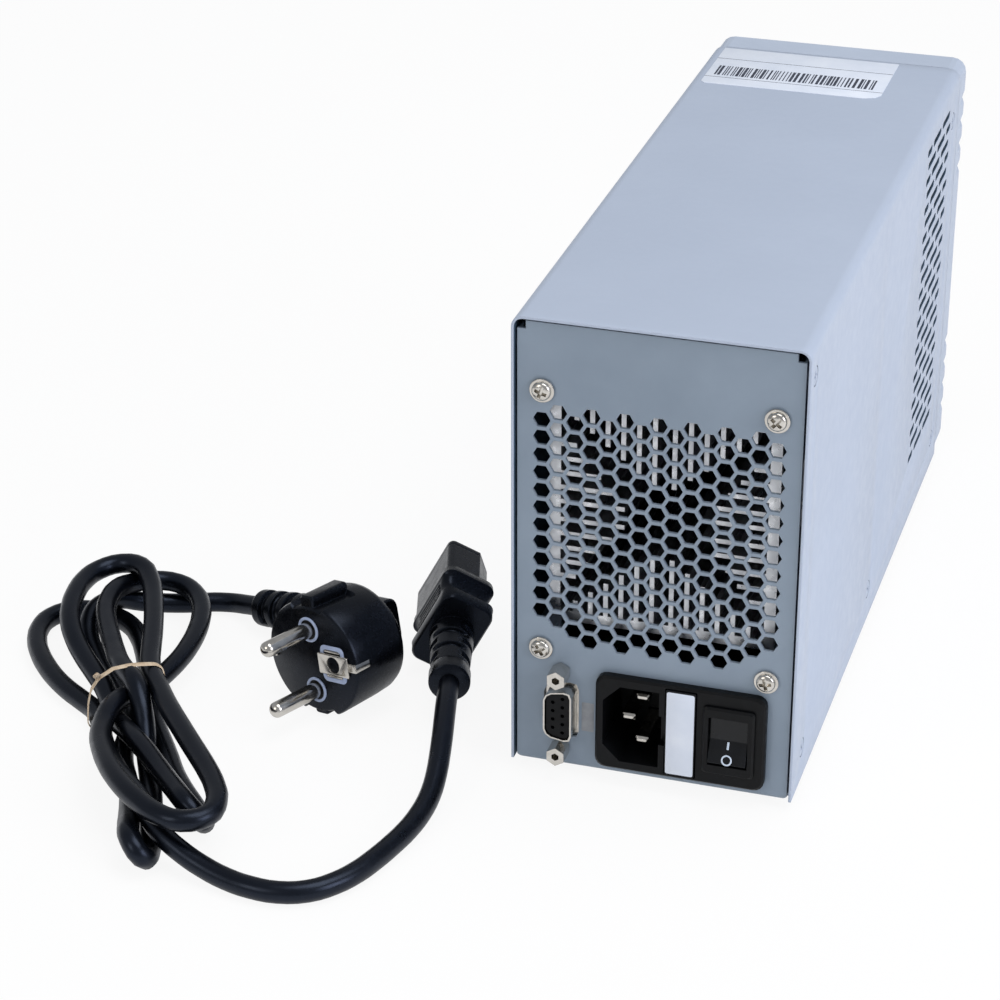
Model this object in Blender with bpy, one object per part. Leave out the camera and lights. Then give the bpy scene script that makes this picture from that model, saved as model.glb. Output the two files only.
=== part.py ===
"""Bench DC electronic load with its mains lead.

Metres, +Z up. The front panel faces -Y and the connector panel faces +Y.
The origin is on the floor, under the middle of the instrument.
"""

import math

import bmesh
import bpy
from mathutils import Matrix, Vector

MM = 0.001

# Fits
GAP = 0.3 * MM
CUT = 1.0 * MM
FINE_STEPS = 20
COARSE_STEPS = 10
SMALL_STEPS = 8

# Cover: one steel sheet bent over the top and both sides
COVER_WIDTH = 82.0 * MM
COVER_HEIGHT = 138.8 * MM
COVER_LENGTH = 229.3 * MM
COVER_SHEET = 1.0 * MM
COVER_BEND = 3.3 * MM
BEND_STEPS = 5

# Intake slots in both sides of the cover
SLOT_LENGTH = 13.8 * MM
SLOT_HEIGHT = 2.0 * MM
SLOT_PITCH = 16.0 * MM
SLOT_ROW_PITCH = 4.8 * MM
SLOT_TOP_DROP = 8.8 * MM
SLOT_BOTTOM_CLEAR = 24.0 * MM
SLOT_ROWS = int((COVER_HEIGHT - SLOT_TOP_DROP - SLOT_BOTTOM_CLEAR) / SLOT_ROW_PITCH) + 1
SLOT_FIELD_REAR = 172.0 * MM
SLOT_FIELD_FRONT = 214.0 * MM

# Chassis: base, side flanges and rear panel in one bent sheet
CHASSIS_SHEET = 1.0 * MM
CHASSIS_SIDE_GAP = 0.5 * MM
CHASSIS_BEND = 2.2 * MM
BASE_DROP = 0.6 * MM
BASE_LENGTH = 224.5 * MM
FLANGE_HEIGHT = 18.0 * MM
FLANGE_SETBACK = 9.0 * MM
PANEL_RECESS = 1.0 * MM
PANEL_TOP_GAP = 0.5 * MM
PANEL_NOTCH = 2.4 * MM
PANEL_CHAMFER = 1.5 * MM
TAB_DEPTH = 12.0 * MM
TAB_HEIGHT = 17.0 * MM

# Feet
FOOT_RADIUS = 6.0 * MM
FOOT_HEIGHT = 2.6 * MM
FOOT_TAPER = 0.6 * MM
FOOT_INSET_SIDE = COVER_WIDTH / 2 - 12.0 * MM
FOOT_INSET_END = 20.0 * MM

# Cover screws: distance from the rear edge, drop from the top
LOW_SCREW_DROP = COVER_HEIGHT - 10.8 * MM
FRONT_SCREW_DEPTH = COVER_LENGTH - 10.3 * MM
COVER_SCREW_PLACES = ((6.0 * MM, 9.5 * MM), (12.5 * MM, LOW_SCREW_DROP), (108.5 * MM, LOW_SCREW_DROP),
                      (FRONT_SCREW_DEPTH, LOW_SCREW_DROP), (FRONT_SCREW_DEPTH, 14.0 * MM))
COVER_SCREW_HEAD = 2.7 * MM
COVER_SCREW_SHANK = 1.4 * MM
COVER_SCREW_LENGTH = 5.0 * MM
COVER_SCREW_SINK = 0.3 * MM

# Heatsink tunnel: it fills the cover between the inlet's zone below and the cable space above
TUNNEL_TOP_CLEAR = 26.3 * MM
TUNNEL_BOTTOM_CLEAR = 42.5 * MM
TUNNEL_SIDE_CLEAR = 8.5 * MM
TUNNEL_HALF_WIDTH = COVER_WIDTH / 2 - TUNNEL_SIDE_CLEAR
TUNNEL_HALF_HEIGHT = (COVER_HEIGHT - TUNNEL_TOP_CLEAR - TUNNEL_BOTTOM_CLEAR) / 2
TUNNEL_DROP = TUNNEL_TOP_CLEAR + TUNNEL_HALF_HEIGHT
TUNNEL_SETBACK = 7.0 * MM
TUNNEL_LENGTH = 140.0 * MM
TUNNEL_WALL = 3.2 * MM
FIN_THICK = 1.4 * MM
FIN_PITCH = 4.42 * MM
FIN_FIRST = 2.8 * MM
FIN_CORE = 11.0 * MM
TOP_FIN_SHORTEST = 3.6 * MM
SIDE_FIN_SHORTEST = 4.5 * MM
CORNER_CLEAR_TOP = 2.0 * MM
CORNER_CLEAR_SIDE = 9.0 * MM
TOP_FIN_ROWS = int((TUNNEL_HALF_WIDTH - TUNNEL_WALL - FIN_FIRST - CORNER_CLEAR_TOP) / FIN_PITCH) + 1
SIDE_FIN_ROWS = int((TUNNEL_HALF_HEIGHT - TUNNEL_WALL - FIN_FIRST - CORNER_CLEAR_SIDE) / FIN_PITCH) + 1
EAR_HALF_WIDTH = 3.5 * MM
EAR_CORNER = 1.2 * MM
SPACER_ACROSS = 5.5 * MM

# Panel screws that carry the heatsink
PANEL_SCREW_SIDE = TUNNEL_HALF_WIDTH - 0.1 * MM
PANEL_SCREW_RISE = TUNNEL_HALF_HEIGHT + 5.0 * MM
PANEL_SCREW_SHANK = 1.5 * MM
PANEL_SCREW_LENGTH = 16.0 * MM
PANEL_SCREW_HEAD = 2.75 * MM
PANEL_SCREW_HEAD_HEIGHT = 2.1 * MM
PANEL_SCREW_CROWN = 1.9 * MM
PANEL_WASHER = 3.5 * MM
PANEL_WASHER_THICK = 0.6 * MM

# Hexagon grille
HEX_ACROSS = 4.4 * MM
HEX_PITCH = 5.38 * MM
HEX_COLUMN_PITCH = HEX_PITCH * math.sqrt(3) / 2
HEX_SIDE_CLEAR = 5.7 * MM
HEX_TOP_DROP = 30.3 * MM
HEX_BOTTOM_CLEAR = 43.5 * MM
HEX_COLUMNS = int((COVER_WIDTH - 2 * HEX_SIDE_CLEAR) / HEX_COLUMN_PITCH)
HEX_ROWS = int((COVER_HEIGHT - HEX_TOP_DROP - HEX_BOTTOM_CLEAR) / HEX_PITCH) + 1
HEX_SHORT_COLUMNS = 2

# Fan
FAN_SIZE = 60.0 * MM
FAN_DEPTH = 25.0 * MM
FAN_DUCT = 28.6 * MM
FAN_HUB = 13.0 * MM
FAN_MOTOR_THICK = 3.0 * MM
FAN_STRUT_WIDTH = 3.0 * MM
FAN_SHAFT = 1.5 * MM
FAN_BLADES = 7
FAN_BLADE_ROOT = 12.0 * MM
FAN_BLADE_TIP = 27.4 * MM
FAN_BLADE_THICK = 1.3 * MM
FAN_BLADE_CHORD = 17.0 * MM
FAN_ROOT_ANGLE = math.radians(52)
FAN_TIP_ANGLE = math.radians(34)
FAN_SCREW_OFFSET = 25.0 * MM
FAN_SCREW_SHANK = 1.8 * MM
FAN_SCREW_HEAD = 3.5 * MM
FAN_SCREW_HEAD_HEIGHT = 1.6 * MM
FAN_SCREW_REACH = 6.0 * MM

# Transistors on the tunnel walls
TRANSISTOR_WIDTH = 16.0 * MM
TRANSISTOR_HEIGHT = 21.0 * MM
TRANSISTOR_THICK = 4.8 * MM
TRANSISTOR_TAB = 2.0 * MM
TRANSISTOR_TAB_HEIGHT = 4.0 * MM
TRANSISTOR_PLACES = (38.0 * MM, 72.0 * MM, 106.0 * MM)

# Boards
BOARD_THICK = 1.6 * MM
MAIN_BOARD_REAR = 60.0 * MM
MAIN_BOARD_FRONT = 206.0 * MM
MAIN_BOARD_HALF = COVER_WIDTH / 2 - 7.0 * MM
STANDOFF_HEIGHT = 6.0 * MM
STANDOFF_ACROSS = 5.0 * MM
STANDOFF_INSET = 5.0 * MM
STANDOFF_STUD = 1.3 * MM
STANDOFF_STUD_REACH = 2.6 * MM
TRANSFORMER_LENGTH = 36.0 * MM
TRANSFORMER_WIDTH = 42.0 * MM
TRANSFORMER_HEIGHT = 26.0 * MM
TRANSFORMER_REAR = 70.0 * MM
TRANSFORMER_WINDOW = 7.0 * MM
CAPACITOR_RADIUS = 11.0 * MM
CAPACITOR_HEIGHT = 25.0 * MM
CAPACITOR_GROOVE = 3.0 * MM
CAPACITOR_PLACE = (18.0 * MM, 130.0 * MM)

# Front bezel
BEZEL_DEPTH = 13.5 * MM
BEZEL_CORNER = 4.5 * MM
BEZEL_ROUND = 2.6 * MM
BEZEL_RIM = 4.8 * MM
BEZEL_SEAT = 7.5 * MM
BEZEL_LIP = 1.8 * MM
BEZEL_LIP_REACH = 4.4 * MM
BEZEL_EAR_REACH = 14.8 * MM
BEZEL_EAR_HEIGHT = 16.0 * MM
BEZEL_EAR_THICK = 2.3 * MM
CORNER_STEPS = 4
SCOOP_RADIUS = 3.7 * MM
SCOOP_PITCH = 8.0 * MM
SCOOP_COUNT = 4
SCOOP_DEPTH = 1.3 * MM
SCOOP_LENGTH = 11.5 * MM
SCOOP_TOP_DROP = 13.0 * MM
SCOOP_BOTTOM_DROP = COVER_HEIGHT - 38.3 * MM

# Front panel and what sits in it
FASCIA_THICK = 2.0 * MM
FASCIA_SINK = 1.0 * MM
FASCIA_CORNER = 1.0 * MM
WINDOW_SIDE_MARGIN = 12.0 * MM
WINDOW_TOP_MARGIN = 12.0 * MM
CONTROLS_HEIGHT = 88.8 * MM
WINDOW_WIDTH = COVER_WIDTH - 2 * WINDOW_SIDE_MARGIN
WINDOW_HEIGHT = COVER_HEIGHT - WINDOW_TOP_MARGIN - CONTROLS_HEIGHT
WINDOW_DROP = WINDOW_TOP_MARGIN + WINDOW_HEIGHT / 2
WINDOW_THICK = 1.5 * MM
WINDOW_CORNER = 1.5 * MM
DISPLAY_MARGIN = 3.0 * MM
DISPLAY_THICK = 5.5 * MM
CONTROL_BOARD_GAP = 8.1 * MM
CONTROL_BOARD_BOTTOM = 41.0 * MM
KEY_PROUD = 1.6 * MM
KEY_TRAVEL = 0.8 * MM
KEY_FLANGE = 1.0 * MM
KEY_LIP = 1.0 * MM
KEY_STEM = 1.5 * MM
KEY_CORNER = 1.2 * MM
SOFT_KEYS = 4
SOFT_KEY_SPACE = 4.0 * MM
SOFT_KEY_PITCH = (WINDOW_WIDTH + SOFT_KEY_SPACE / 2) / SOFT_KEYS
SOFT_KEY_SIZE = (SOFT_KEY_PITCH - SOFT_KEY_SPACE, 5.5 * MM)
SOFT_KEY_RISE = 83.0 * MM
MODE_KEY_SIZE = (10.5 * MM, 6.5 * MM)
MODE_KEY_PITCH = 14.0 * MM
MODE_KEY_LEFT = -24.5 * MM
MODE_KEY_RISE = 68.0 * MM
MODE_KEYS = 3
MODE_KEY_STEP = 11.0 * MM
INPUT_KEY_SIZE = (14.0 * MM, 7.0 * MM)
INPUT_KEY_PLACE = (-8.0 * MM, 47.0 * MM)

# Rotary knob and its encoder
KNOB_PLACE = (17.0 * MM, 62.0 * MM)
KNOB_RADIUS = 13.0 * MM
KNOB_TOP_RADIUS = 11.8 * MM
KNOB_HEIGHT = 15.0 * MM
KNOB_CLEAR = 1.0 * MM
KNOB_ROUND = 1.4 * MM
KNOB_DISH = 0.8 * MM
KNOB_FLUTES = 14
KNOB_FLUTE_DEPTH = 0.4 * MM
ENCODER_SIZE = 12.0 * MM
ENCODER_DEPTH = 5.6 * MM
BUSHING_RADIUS = 3.5 * MM
BUSHING_REACH = 4.0 * MM
SHAFT_RADIUS = 3.0 * MM
SHAFT_REACH = 12.5 * MM

# Binding posts and sense sockets
POST_OFFSET = 14.0 * MM
POST_RISE = 27.0 * MM
POST_BASE_RADIUS = 8.0 * MM
POST_BASE_THICK = 4.0 * MM
POST_NECK_RADIUS = 5.0 * MM
POST_NECK_REACH = 3.0 * MM
STUD_RADIUS = 3.0 * MM
STUD_COLLAR = 5.5 * MM
STUD_COLLAR_THICK = 1.5 * MM
STUD_REACH = 9.0 * MM
STUD_TAIL = 9.0 * MM
CLAMP_THICK = 1.2 * MM
CAP_RADIUS = 7.5 * MM
CAP_HEIGHT = 16.0 * MM
CAP_ROUND = 1.0 * MM
CAP_FLUTES = 12
CAP_FLUTE_DEPTH = 0.6 * MM
BANANA_RADIUS = 2.1 * MM
POST_NUT_ACROSS = 10.0 * MM
POST_NUT_THICK = 4.0 * MM
SENSE_OFFSET = COVER_WIDTH / 2 - 12.5 * MM
SENSE_FLANGE_RADIUS = 4.3 * MM
SENSE_FLANGE_THICK = 2.5 * MM
SENSE_BODY_RADIUS = 3.3 * MM
SENSE_DEPTH = 14.0 * MM

# Power inlet module: distances are from the middle of its flange
INLET_X = 32.25 * MM - COVER_WIDTH / 2
INLET_RISE = 21.1 * MM
INLET_WIDTH = 49.0 * MM
INLET_HEIGHT = 30.0 * MM
INLET_CORNER = 3.0 * MM
INLET_PROUD = 2.6 * MM
INLET_EDGE_ROUND = 0.6 * MM
INLET_LAND = 1.2 * MM
INLET_BODY_DEPTH = 32.0 * MM
SOCKET_X = 14.1 * MM
SOCKET_WIDTH = 16.3 * MM
SOCKET_HEIGHT = 24.4 * MM
SOCKET_CHAMFER = 5.0 * MM
SOCKET_DEPTH = 21.0 * MM
BLADE_WIDTH = 4.0 * MM
BLADE_THICK = 2.0 * MM
BLADE_RECESS = 4.6 * MM
BLADE_SPACING = 7.0 * MM
BLADE_FROM_FLAT = 6.0 * MM
EARTH_FROM_FLAT = 10.0 * MM
BLADE_TIP = 0.6 * MM
BLADE_TAIL = 4.0 * MM
DRAWER_X = -0.3 * MM
DRAWER_WIDTH = 8.6 * MM
DRAWER_PLATE_HEIGHT = 27.6 * MM
DRAWER_PLATE_THICK = 2.0 * MM
DRAWER_BODY_HEIGHT = 23.6 * MM
DRAWER_DEPTH = 26.0 * MM
DRAWER_PROUD = 0.4 * MM
DRAWER_NOTCH_HEIGHT = 9.5 * MM
DRAWER_NOTCH_DEPTH = 3.0 * MM
FUSE_RADIUS = 2.6 * MM
FUSE_GLASS_RADIUS = 2.4 * MM
FUSE_LENGTH = 20.0 * MM
FUSE_CAP = 5.0 * MM
FUSE_DEPTH = 15.0 * MM
SWITCH_X = -14.2 * MM
SWITCH_WIDTH = 14.9 * MM
SWITCH_HEIGHT = 21.5 * MM
SWITCH_PROUD = 1.0 * MM
SWITCH_BODY_WIDTH = 13.0 * MM
SWITCH_BODY_HEIGHT = 19.0 * MM
SWITCH_BODY_DEPTH = 18.0 * MM
ROCKER_WIDTH = 10.8 * MM
ROCKER_RADIUS = 7.4 * MM
ROCKER_EDGE = 2.6 * MM
ROCKER_MIDDLE = 1.4 * MM
ROCKER_HEEL = 4.0 * MM
ROCKER_TILT = math.radians(11)
ROCKER_PIVOT_SINK = 2.9 * MM
ROCKER_WELL = 9.0 * MM
PIVOT_RADIUS = 1.2 * MM
PIVOT_REACH = 0.5 * MM

# Serial connector
SERIAL_X = COVER_WIDTH / 2 - 14.6 * MM
SERIAL_RISE = 21.5 * MM
SHELL_LONG = 16.9 * MM
SHELL_SHORT = 8.3 * MM
SHELL_SLANT = math.radians(10)
SHELL_CORNER = 2.2 * MM
SHELL_CORNER_EASE = 0.42
SHELL_WALL = 0.5 * MM
SHELL_REACH = 5.9 * MM
SHELL_FLANGE_LONG = 30.8 * MM
SHELL_FLANGE_SHORT = 12.5 * MM
SHELL_FLANGE_THICK = 0.8 * MM
SERIAL_WINDOW = 1.0 * MM
SERIAL_BODY_DEPTH = 8.0 * MM
SERIAL_FACE_SINK = 0.6 * MM
PIN_PITCH = 2.77 * MM
PIN_ROW = 2.84 * MM
PIN_HOLE = 0.55 * MM
PIN_HOLE_DEPTH = 4.0 * MM
JACK_SPACING = 24.99 * MM
JACK_ACROSS = 5.0 * MM
JACK_STAND = 6.0 * MM
JACK_BORE = 1.2 * MM
JACK_SHANK = 1.4 * MM
JACK_TAIL = 5.0 * MM

# Mains lead: one cord from the connector into the hank and on to the plug
# Places are (x, y behind the cover's rear edge, height above the floor) in mm
CORD_RADIUS = 3.1 * MM
CORD_STEP = 11.0 * MM
CONNECTOR_END = (65.1, -16.7, 13.9)
CONNECTOR_HEADING = math.radians(-73.5)
CONNECTOR_ROLL = math.radians(28.6)
CONNECTOR_ROUTE = ((65.1, -16.7, 13.9), (63.0, -7.5, 13.7), (60.3, 3.4, 12.2), (57.6, 15.0, 9.9),
                   (55.9, 25.9, 6.6), (55.5, 33.7, 4.8), (58.3, 49.7, 3.3), (63.1, 66.2, 3.1),
                   (68.7, 76.2, 3.1), (75.6, 82.0, 3.1), (83.1, 83.7, 3.1), (89.5, 83.0, 3.1),
                   (101.5, 79.1, 3.1))
COLLAR_LENGTH = 6.0 * MM
COLLAR_RADIUS = 6.25 * MM
BOOT_LENGTH = 28.0 * MM
BOOT_TIP = 5.4 * MM
BOOT_GROOVES = 4
BOOT_GROOVE_DEPTH = 0.8 * MM
FLANGE_SIZE = (25.0 * MM, 17.0 * MM)
WAIST_SIZE = (19.0 * MM, 13.0 * MM)
NOSE_SIZE = (23.4 * MM, 15.4 * MM)
FLANGE_CORNER = 3.5 * MM
NOSE_CORNER = 1.5 * MM
REAR_FLANGE_LENGTH = 5.0 * MM
WAIST_LENGTH = 11.0 * MM
FRONT_FLANGE_LENGTH = 3.0 * MM
NOSE_LENGTH = 17.0 * MM
CONTACT_SLOT = (2.6 * MM, 5.0 * MM)
CONTACT_SLOT_DEPTH = 12.0 * MM
HANK_OUTLINE = ((172, 16), (190, -3), (205, -17), (207.5, -34), (199, -48), (186, -61), (170, -63),
                (156.5, -58.5), (150.5, -46), (149.5, -26), (145, -4), (130, 22), (110, 48), (99.5, 66),
                (103, 80), (118, 86), (131, 83), (141, 71), (152, 53), (161, 31))
HANK_LOW = 0.3 * MM
HANK_HIGH = 23.5 * MM
HANK_ROUND = 3.0 * MM
TIE_MIDDLE = (155.5, 11.5)
TIE_HEADING = math.radians(34.2)
TIE_WIDTH = 5.0 * MM
TIE_THICK = 1.0 * MM
TIE_HALF_SPAN = 13.0 * MM
TIE_CORNER = 2.0 * MM
TIE_GROOVE_REACH = 12.0 * MM
PLUG_FACE = (105.4, -11.3, 18.3)
PLUG_HEADING = math.radians(66.3)
PLUG_TILT = math.radians(2.5)
PLUG_RADIUS = 18.0 * MM
PLUG_BACK_RADIUS = 17.2 * MM
PLUG_ROUND_DEPTH = 20.0 * MM
PLUG_DEPTH = 35.0 * MM
PLUG_BACK = (9.0 * MM, 12.5 * MM)
PLUG_EXIT_DEPTH = 28.0 * MM
PLUG_EXIT_DIP = math.radians(10.6)
PLUG_BOOT_START = 8.0 * MM
PLUG_BOOT_LENGTH = 53.0 * MM
PLUG_BOOT_ROOT = 7.0 * MM
PLUG_BOOT_TIP = 4.7 * MM
PLUG_PIN_RADIUS = 2.4 * MM
PLUG_PIN_LENGTH = 19.0 * MM
PLUG_PIN_SPACING = 19.0 * MM
PLUG_PIN_ROOT = 8.0 * MM
EARTH_OFFSET = 8.5 * MM
EARTH_SIZE = (6.0 * MM, 5.0 * MM)
EARTH_DEPTH = 14.0 * MM
EARTH_THICK = 1.0 * MM
NOTCH_SIZE = (7.0 * MM, 4.0 * MM)
NOTCH_DEPTH = 15.0 * MM
LEAD_TO_PLUG_END = (153.9, -59.0, 3.2)

# Levels and depths that the pieces share
COVER_HALF = COVER_WIDTH / 2
BASE_UNDER = FOOT_HEIGHT
BASE_TOP = BASE_UNDER + CHASSIS_SHEET
COVER_BOTTOM = BASE_UNDER + BASE_DROP
COVER_TOP = COVER_BOTTOM + COVER_HEIGHT
CHASSIS_HALF = COVER_HALF - COVER_SHEET - CHASSIS_SIDE_GAP
TUNNEL_MID = COVER_TOP - TUNNEL_DROP
BOARD_UNDER = BASE_TOP + STANDOFF_HEIGHT + GAP
BOARD_TOP = BOARD_UNDER + BOARD_THICK
BEZEL_REAR = COVER_LENGTH + GAP
BEZEL_FRONT = BEZEL_REAR + BEZEL_DEPTH
FASCIA_FRONT = BEZEL_FRONT - FASCIA_SINK
FASCIA_REAR = FASCIA_FRONT - FASCIA_THICK
POST_FACE = FASCIA_FRONT + GAP + POST_BASE_THICK
CLAMP_REAR = POST_FACE + GAP + STUD_COLLAR_THICK + GAP
CAP_REAR = CLAMP_REAR + CLAMP_THICK + GAP
CAP_FRONT = CAP_REAR + CAP_HEIGHT
KNOB_REAR = FASCIA_FRONT + KNOB_CLEAR
KNOB_FRONT = KNOB_REAR + KNOB_HEIGHT
FRONT_REACH = max(CAP_FRONT, KNOB_FRONT)
REAR_REACH = JACK_STAND + GAP - PANEL_RECESS
COVER_REAR = (FRONT_REACH - REAR_REACH) / 2
PANEL_FACE = PANEL_RECESS
PANEL_BACK = PANEL_FACE + CHASSIS_SHEET
TUNNEL_REAR = PANEL_BACK + TUNNEL_SETBACK
TUNNEL_FRONT = TUNNEL_REAR + TUNNEL_LENGTH
FAN_REAR = TUNNEL_FRONT + GAP
FAN_FRONT = FAN_REAR + FAN_DEPTH
INLET_BACK = PANEL_FACE - GAP
INLET_FACE = INLET_BACK - INLET_PROUD
SWITCH_FACE = INLET_FACE - GAP - SWITCH_PROUD
ROCKER_PIVOT = SWITCH_FACE + ROCKER_PIVOT_SINK


def at(depth):
    """World Y of a plane that lies this far in front of the cover's rear edge."""
    return COVER_REAR - depth


def paint(name, colour, roughness, metallic=0.0, alpha=1.0):
    """A plain Principled material; colour is an sRGB hex value."""
    found = bpy.data.materials.get(name)
    if found:
        return found
    made = bpy.data.materials.new(name)
    made.use_nodes = True
    shader = made.node_tree.nodes["Principled BSDF"]
    channels = [int(colour[i:i + 2], 16) / 255 for i in (0, 2, 4)]
    linear = [c / 12.92 if c <= 0.04045 else ((c + 0.055) / 1.055) ** 2.4 for c in channels]
    shader.inputs["Base Color"].default_value = (*linear, 1.0)
    shader.inputs["Roughness"].default_value = roughness
    shader.inputs["Metallic"].default_value = metallic
    shader.inputs["Alpha"].default_value = alpha
    made.diffuse_color = (*linear, alpha)
    return made


def powder_coat():
    return paint("powder_coated_steel", "B4BFD1", 0.45)


def panel_paint():
    return paint("painted_panel", "8793A0", 0.45)


def bezel_plastic():
    return paint("moulded_bezel", "B9C3D6", 0.5)


def black_plastic():
    return paint("black_moulding", "16171A", 0.45)


def raw_aluminium():
    return paint("extruded_aluminium", "C9CBCE", 0.35, 1.0)


def bright_metal():
    return paint("nickel_plate", "D5D2CA", 0.25, 1.0)


def board_laminate():
    return paint("board_laminate", "1E5A3A", 0.5)


def black_rubber():
    return paint("black_rubber", "141416", 0.7)


def place(point, axis):
    """Turns (across, up, along) into world (x, y, z) for a shape made along one axis."""
    across, up, along = point
    if axis == "X":
        return Vector((along, across, up))
    if axis == "Y":
        return Vector((across, along, up))
    return Vector((across, up, along))


def add_prism(bm, outline, axis, low, high):
    """Extrudes an outline of (across, up) points from low to high along an axis."""
    rings = []
    for along in (low, high):
        rings.append([bm.verts.new(place((a, u, along), axis)) for a, u in outline])
    bm.faces.new(rings[0])
    bm.faces.new(rings[1])
    bridge(bm, rings[0], rings[1])


def bridge(bm, first, second):
    """Joins two rings of as many points with a band of faces."""
    count = len(first)
    for i in range(count):
        j = (i + 1) % count
        bm.faces.new((first[i], first[j], second[j], second[i]))


def add_box(bm, low, high):
    """A box between two corners."""
    outline = [(low[0], low[1]), (high[0], low[1]), (high[0], high[1]), (low[0], high[1])]
    add_prism(bm, outline, "Z", low[2], high[2])


def add_turned(bm, profile, axis, centre, steps, flutes=0, flute_depth=0.0, flute_from=0.0):
    """Turns a profile of (radius, along) points about an axis through centre (across, up).

    Points on the axis close an end. A profile that stays off the axis closes on itself.
    With flutes, points outside flute_from move in by flute_depth at every other step.
    """
    count = flutes * 2 if flutes else steps
    rings = []
    for radius, along in profile:
        if radius == 0:
            rings.append([bm.verts.new(place((centre[0], centre[1], along), axis))])
            continue
        ring = []
        for i in range(count):
            turn = math.tau * (i + 0.5) / count
            reach = radius
            if flutes and i % 2 and radius > flute_from:
                reach = radius - flute_depth
            point = (centre[0] + reach * math.cos(turn), centre[1] + reach * math.sin(turn), along)
            ring.append(bm.verts.new(place(point, axis)))
        rings.append(ring)
    closed = len(rings[0]) > 1 and len(rings[-1]) > 1
    pairs = list(zip(rings, rings[1:]))
    if closed:
        pairs.append((rings[-1], rings[0]))
    for first, second in pairs:
        if len(first) == 1 or len(second) == 1:
            tip, ring = (first[0], second) if len(first) == 1 else (second[0], first)
            for i in range(count):
                bm.faces.new((tip, ring[i], ring[(i + 1) % count]))
        else:
            bridge(bm, first, second)


def rounded(width, height, radius, steps, centre=(0.0, 0.0)):
    """A rectangle whose corners are arcs; one step makes a plain chamfer."""
    points = []
    corners = ((1, 1, 0), (-1, 1, 90), (-1, -1, 180), (1, -1, 270))
    for side, rise, start in corners:
        hub_x = centre[0] + side * (width / 2 - radius)
        hub_z = centre[1] + rise * (height / 2 - radius)
        for i in range(steps + 1):
            turn = math.radians(start + 90 * i / steps)
            points.append((hub_x + radius * math.cos(turn), hub_z + radius * math.sin(turn)))
    return points


def circle(radius, centre, steps):
    """A round outline with flats, not points, on the axes."""
    turns = [math.tau * (i + 0.5) / steps for i in range(steps)]
    return [(centre[0] + radius * math.cos(t), centre[1] + radius * math.sin(t)) for t in turns]


def hexagon(across, centre):
    """A hexagon of the given width across its flats."""
    reach = across / math.sqrt(3)
    turns = [math.radians(60 * i) for i in range(6)]
    return [(centre[0] + reach * math.cos(t), centre[1] + reach * math.sin(t)) for t in turns]


def add_loft(bm, sections, axis="Y", closed=False):
    """Skins sections of (outline, along) that have as many points; closed joins the last to the first."""
    rings = []
    for outline, along in sections:
        rings.append([bm.verts.new(place((a, u, along), axis)) for a, u in outline])
    for first, second in zip(rings, rings[1:]):
        bridge(bm, first, second)
    if closed:
        bridge(bm, rings[-1], rings[0])
    else:
        bm.faces.new(rings[0])
        bm.faces.new(rings[-1])


def add_rod(bm, radius, axis, centre, low, high, steps=COARSE_STEPS):
    """A plain round rod, or the cutter for a round hole."""
    add_turned(bm, [(0, low), (radius, low), (radius, high), (0, high)], axis, centre, steps)


def add_sleeve(bm, across, bore, axis, centre, low, high):
    """A hexagonal sleeve, whose six-sided bore holds the given radius."""
    outside = hexagon(across, centre)
    inside = hexagon(bore * 2, centre)
    add_loft(bm, [(outside, low), (outside, high), (inside, high), (inside, low)], axis, closed=True)


def finish(name, bm, material, smooth=False):
    """Makes the object of one piece from its bmesh."""
    bmesh.ops.recalc_face_normals(bm, faces=bm.faces)
    mesh = bpy.data.meshes.new(name)
    bm.to_mesh(mesh)
    bm.free()
    piece = bpy.data.objects.new(name, mesh)
    bpy.context.scene.collection.objects.link(piece)
    piece.data.materials.append(material)
    if smooth:
        mesh.shade_smooth()
        mesh.set_sharp_from_angle(angle=math.radians(35))
    return piece


def set_origin(piece, point):
    """Moves an object's origin to a point on its joint's axis, leaving its shape where it is."""
    shift = Vector(point)
    piece.data.transform(Matrix.Translation(-shift))
    piece.location = shift


def combine(piece, bm, operation, label):
    """Adds a Boolean with a hidden helper object made from bm."""
    bmesh.ops.recalc_face_normals(bm, faces=bm.faces)
    mesh = bpy.data.meshes.new(label)
    bm.to_mesh(mesh)
    bm.free()
    helper = bpy.data.objects.new(label, mesh)
    bpy.context.scene.collection.objects.link(helper)
    helper.hide_render = True
    helper.display_type = "WIRE"
    modifier = piece.modifiers.new(label, "BOOLEAN")
    modifier.operation = operation
    modifier.solver = "EXACT"
    modifier.object = helper
    return helper


# Cover and chassis

def arch(half, bottom, top, radius):
    """The path of a sheet bent over the top: up one side, across and down the other."""
    points = [(half, bottom)]
    for side, start in ((1, 0), (-1, 90)):
        hub = (side * (half - radius), top - radius)
        for i in range(BEND_STEPS + 1):
            turn = math.radians(start + 90 * i / BEND_STEPS)
            points.append((hub[0] + radius * math.cos(turn), hub[1] + radius * math.sin(turn)))
    points.append((-half, bottom))
    return points


def slot_spans(row):
    """The slots of one row as (rear, front) depths, cut short at the edges of the field."""
    middle = (SLOT_FIELD_REAR + SLOT_FIELD_FRONT) / 2
    shift = -SLOT_PITCH / 4 if row % 2 == 0 else SLOT_PITCH / 4
    spans = []
    reach = int((SLOT_FIELD_FRONT - SLOT_FIELD_REAR) / SLOT_PITCH) + 2
    for i in range(-reach, reach + 1):
        centre = middle + shift + i * SLOT_PITCH
        rear = max(centre - SLOT_LENGTH / 2, SLOT_FIELD_REAR)
        front = min(centre + SLOT_LENGTH / 2, SLOT_FIELD_FRONT)
        if front - rear > 2 * SLOT_HEIGHT:
            spans.append((rear, front))
    return spans


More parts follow.
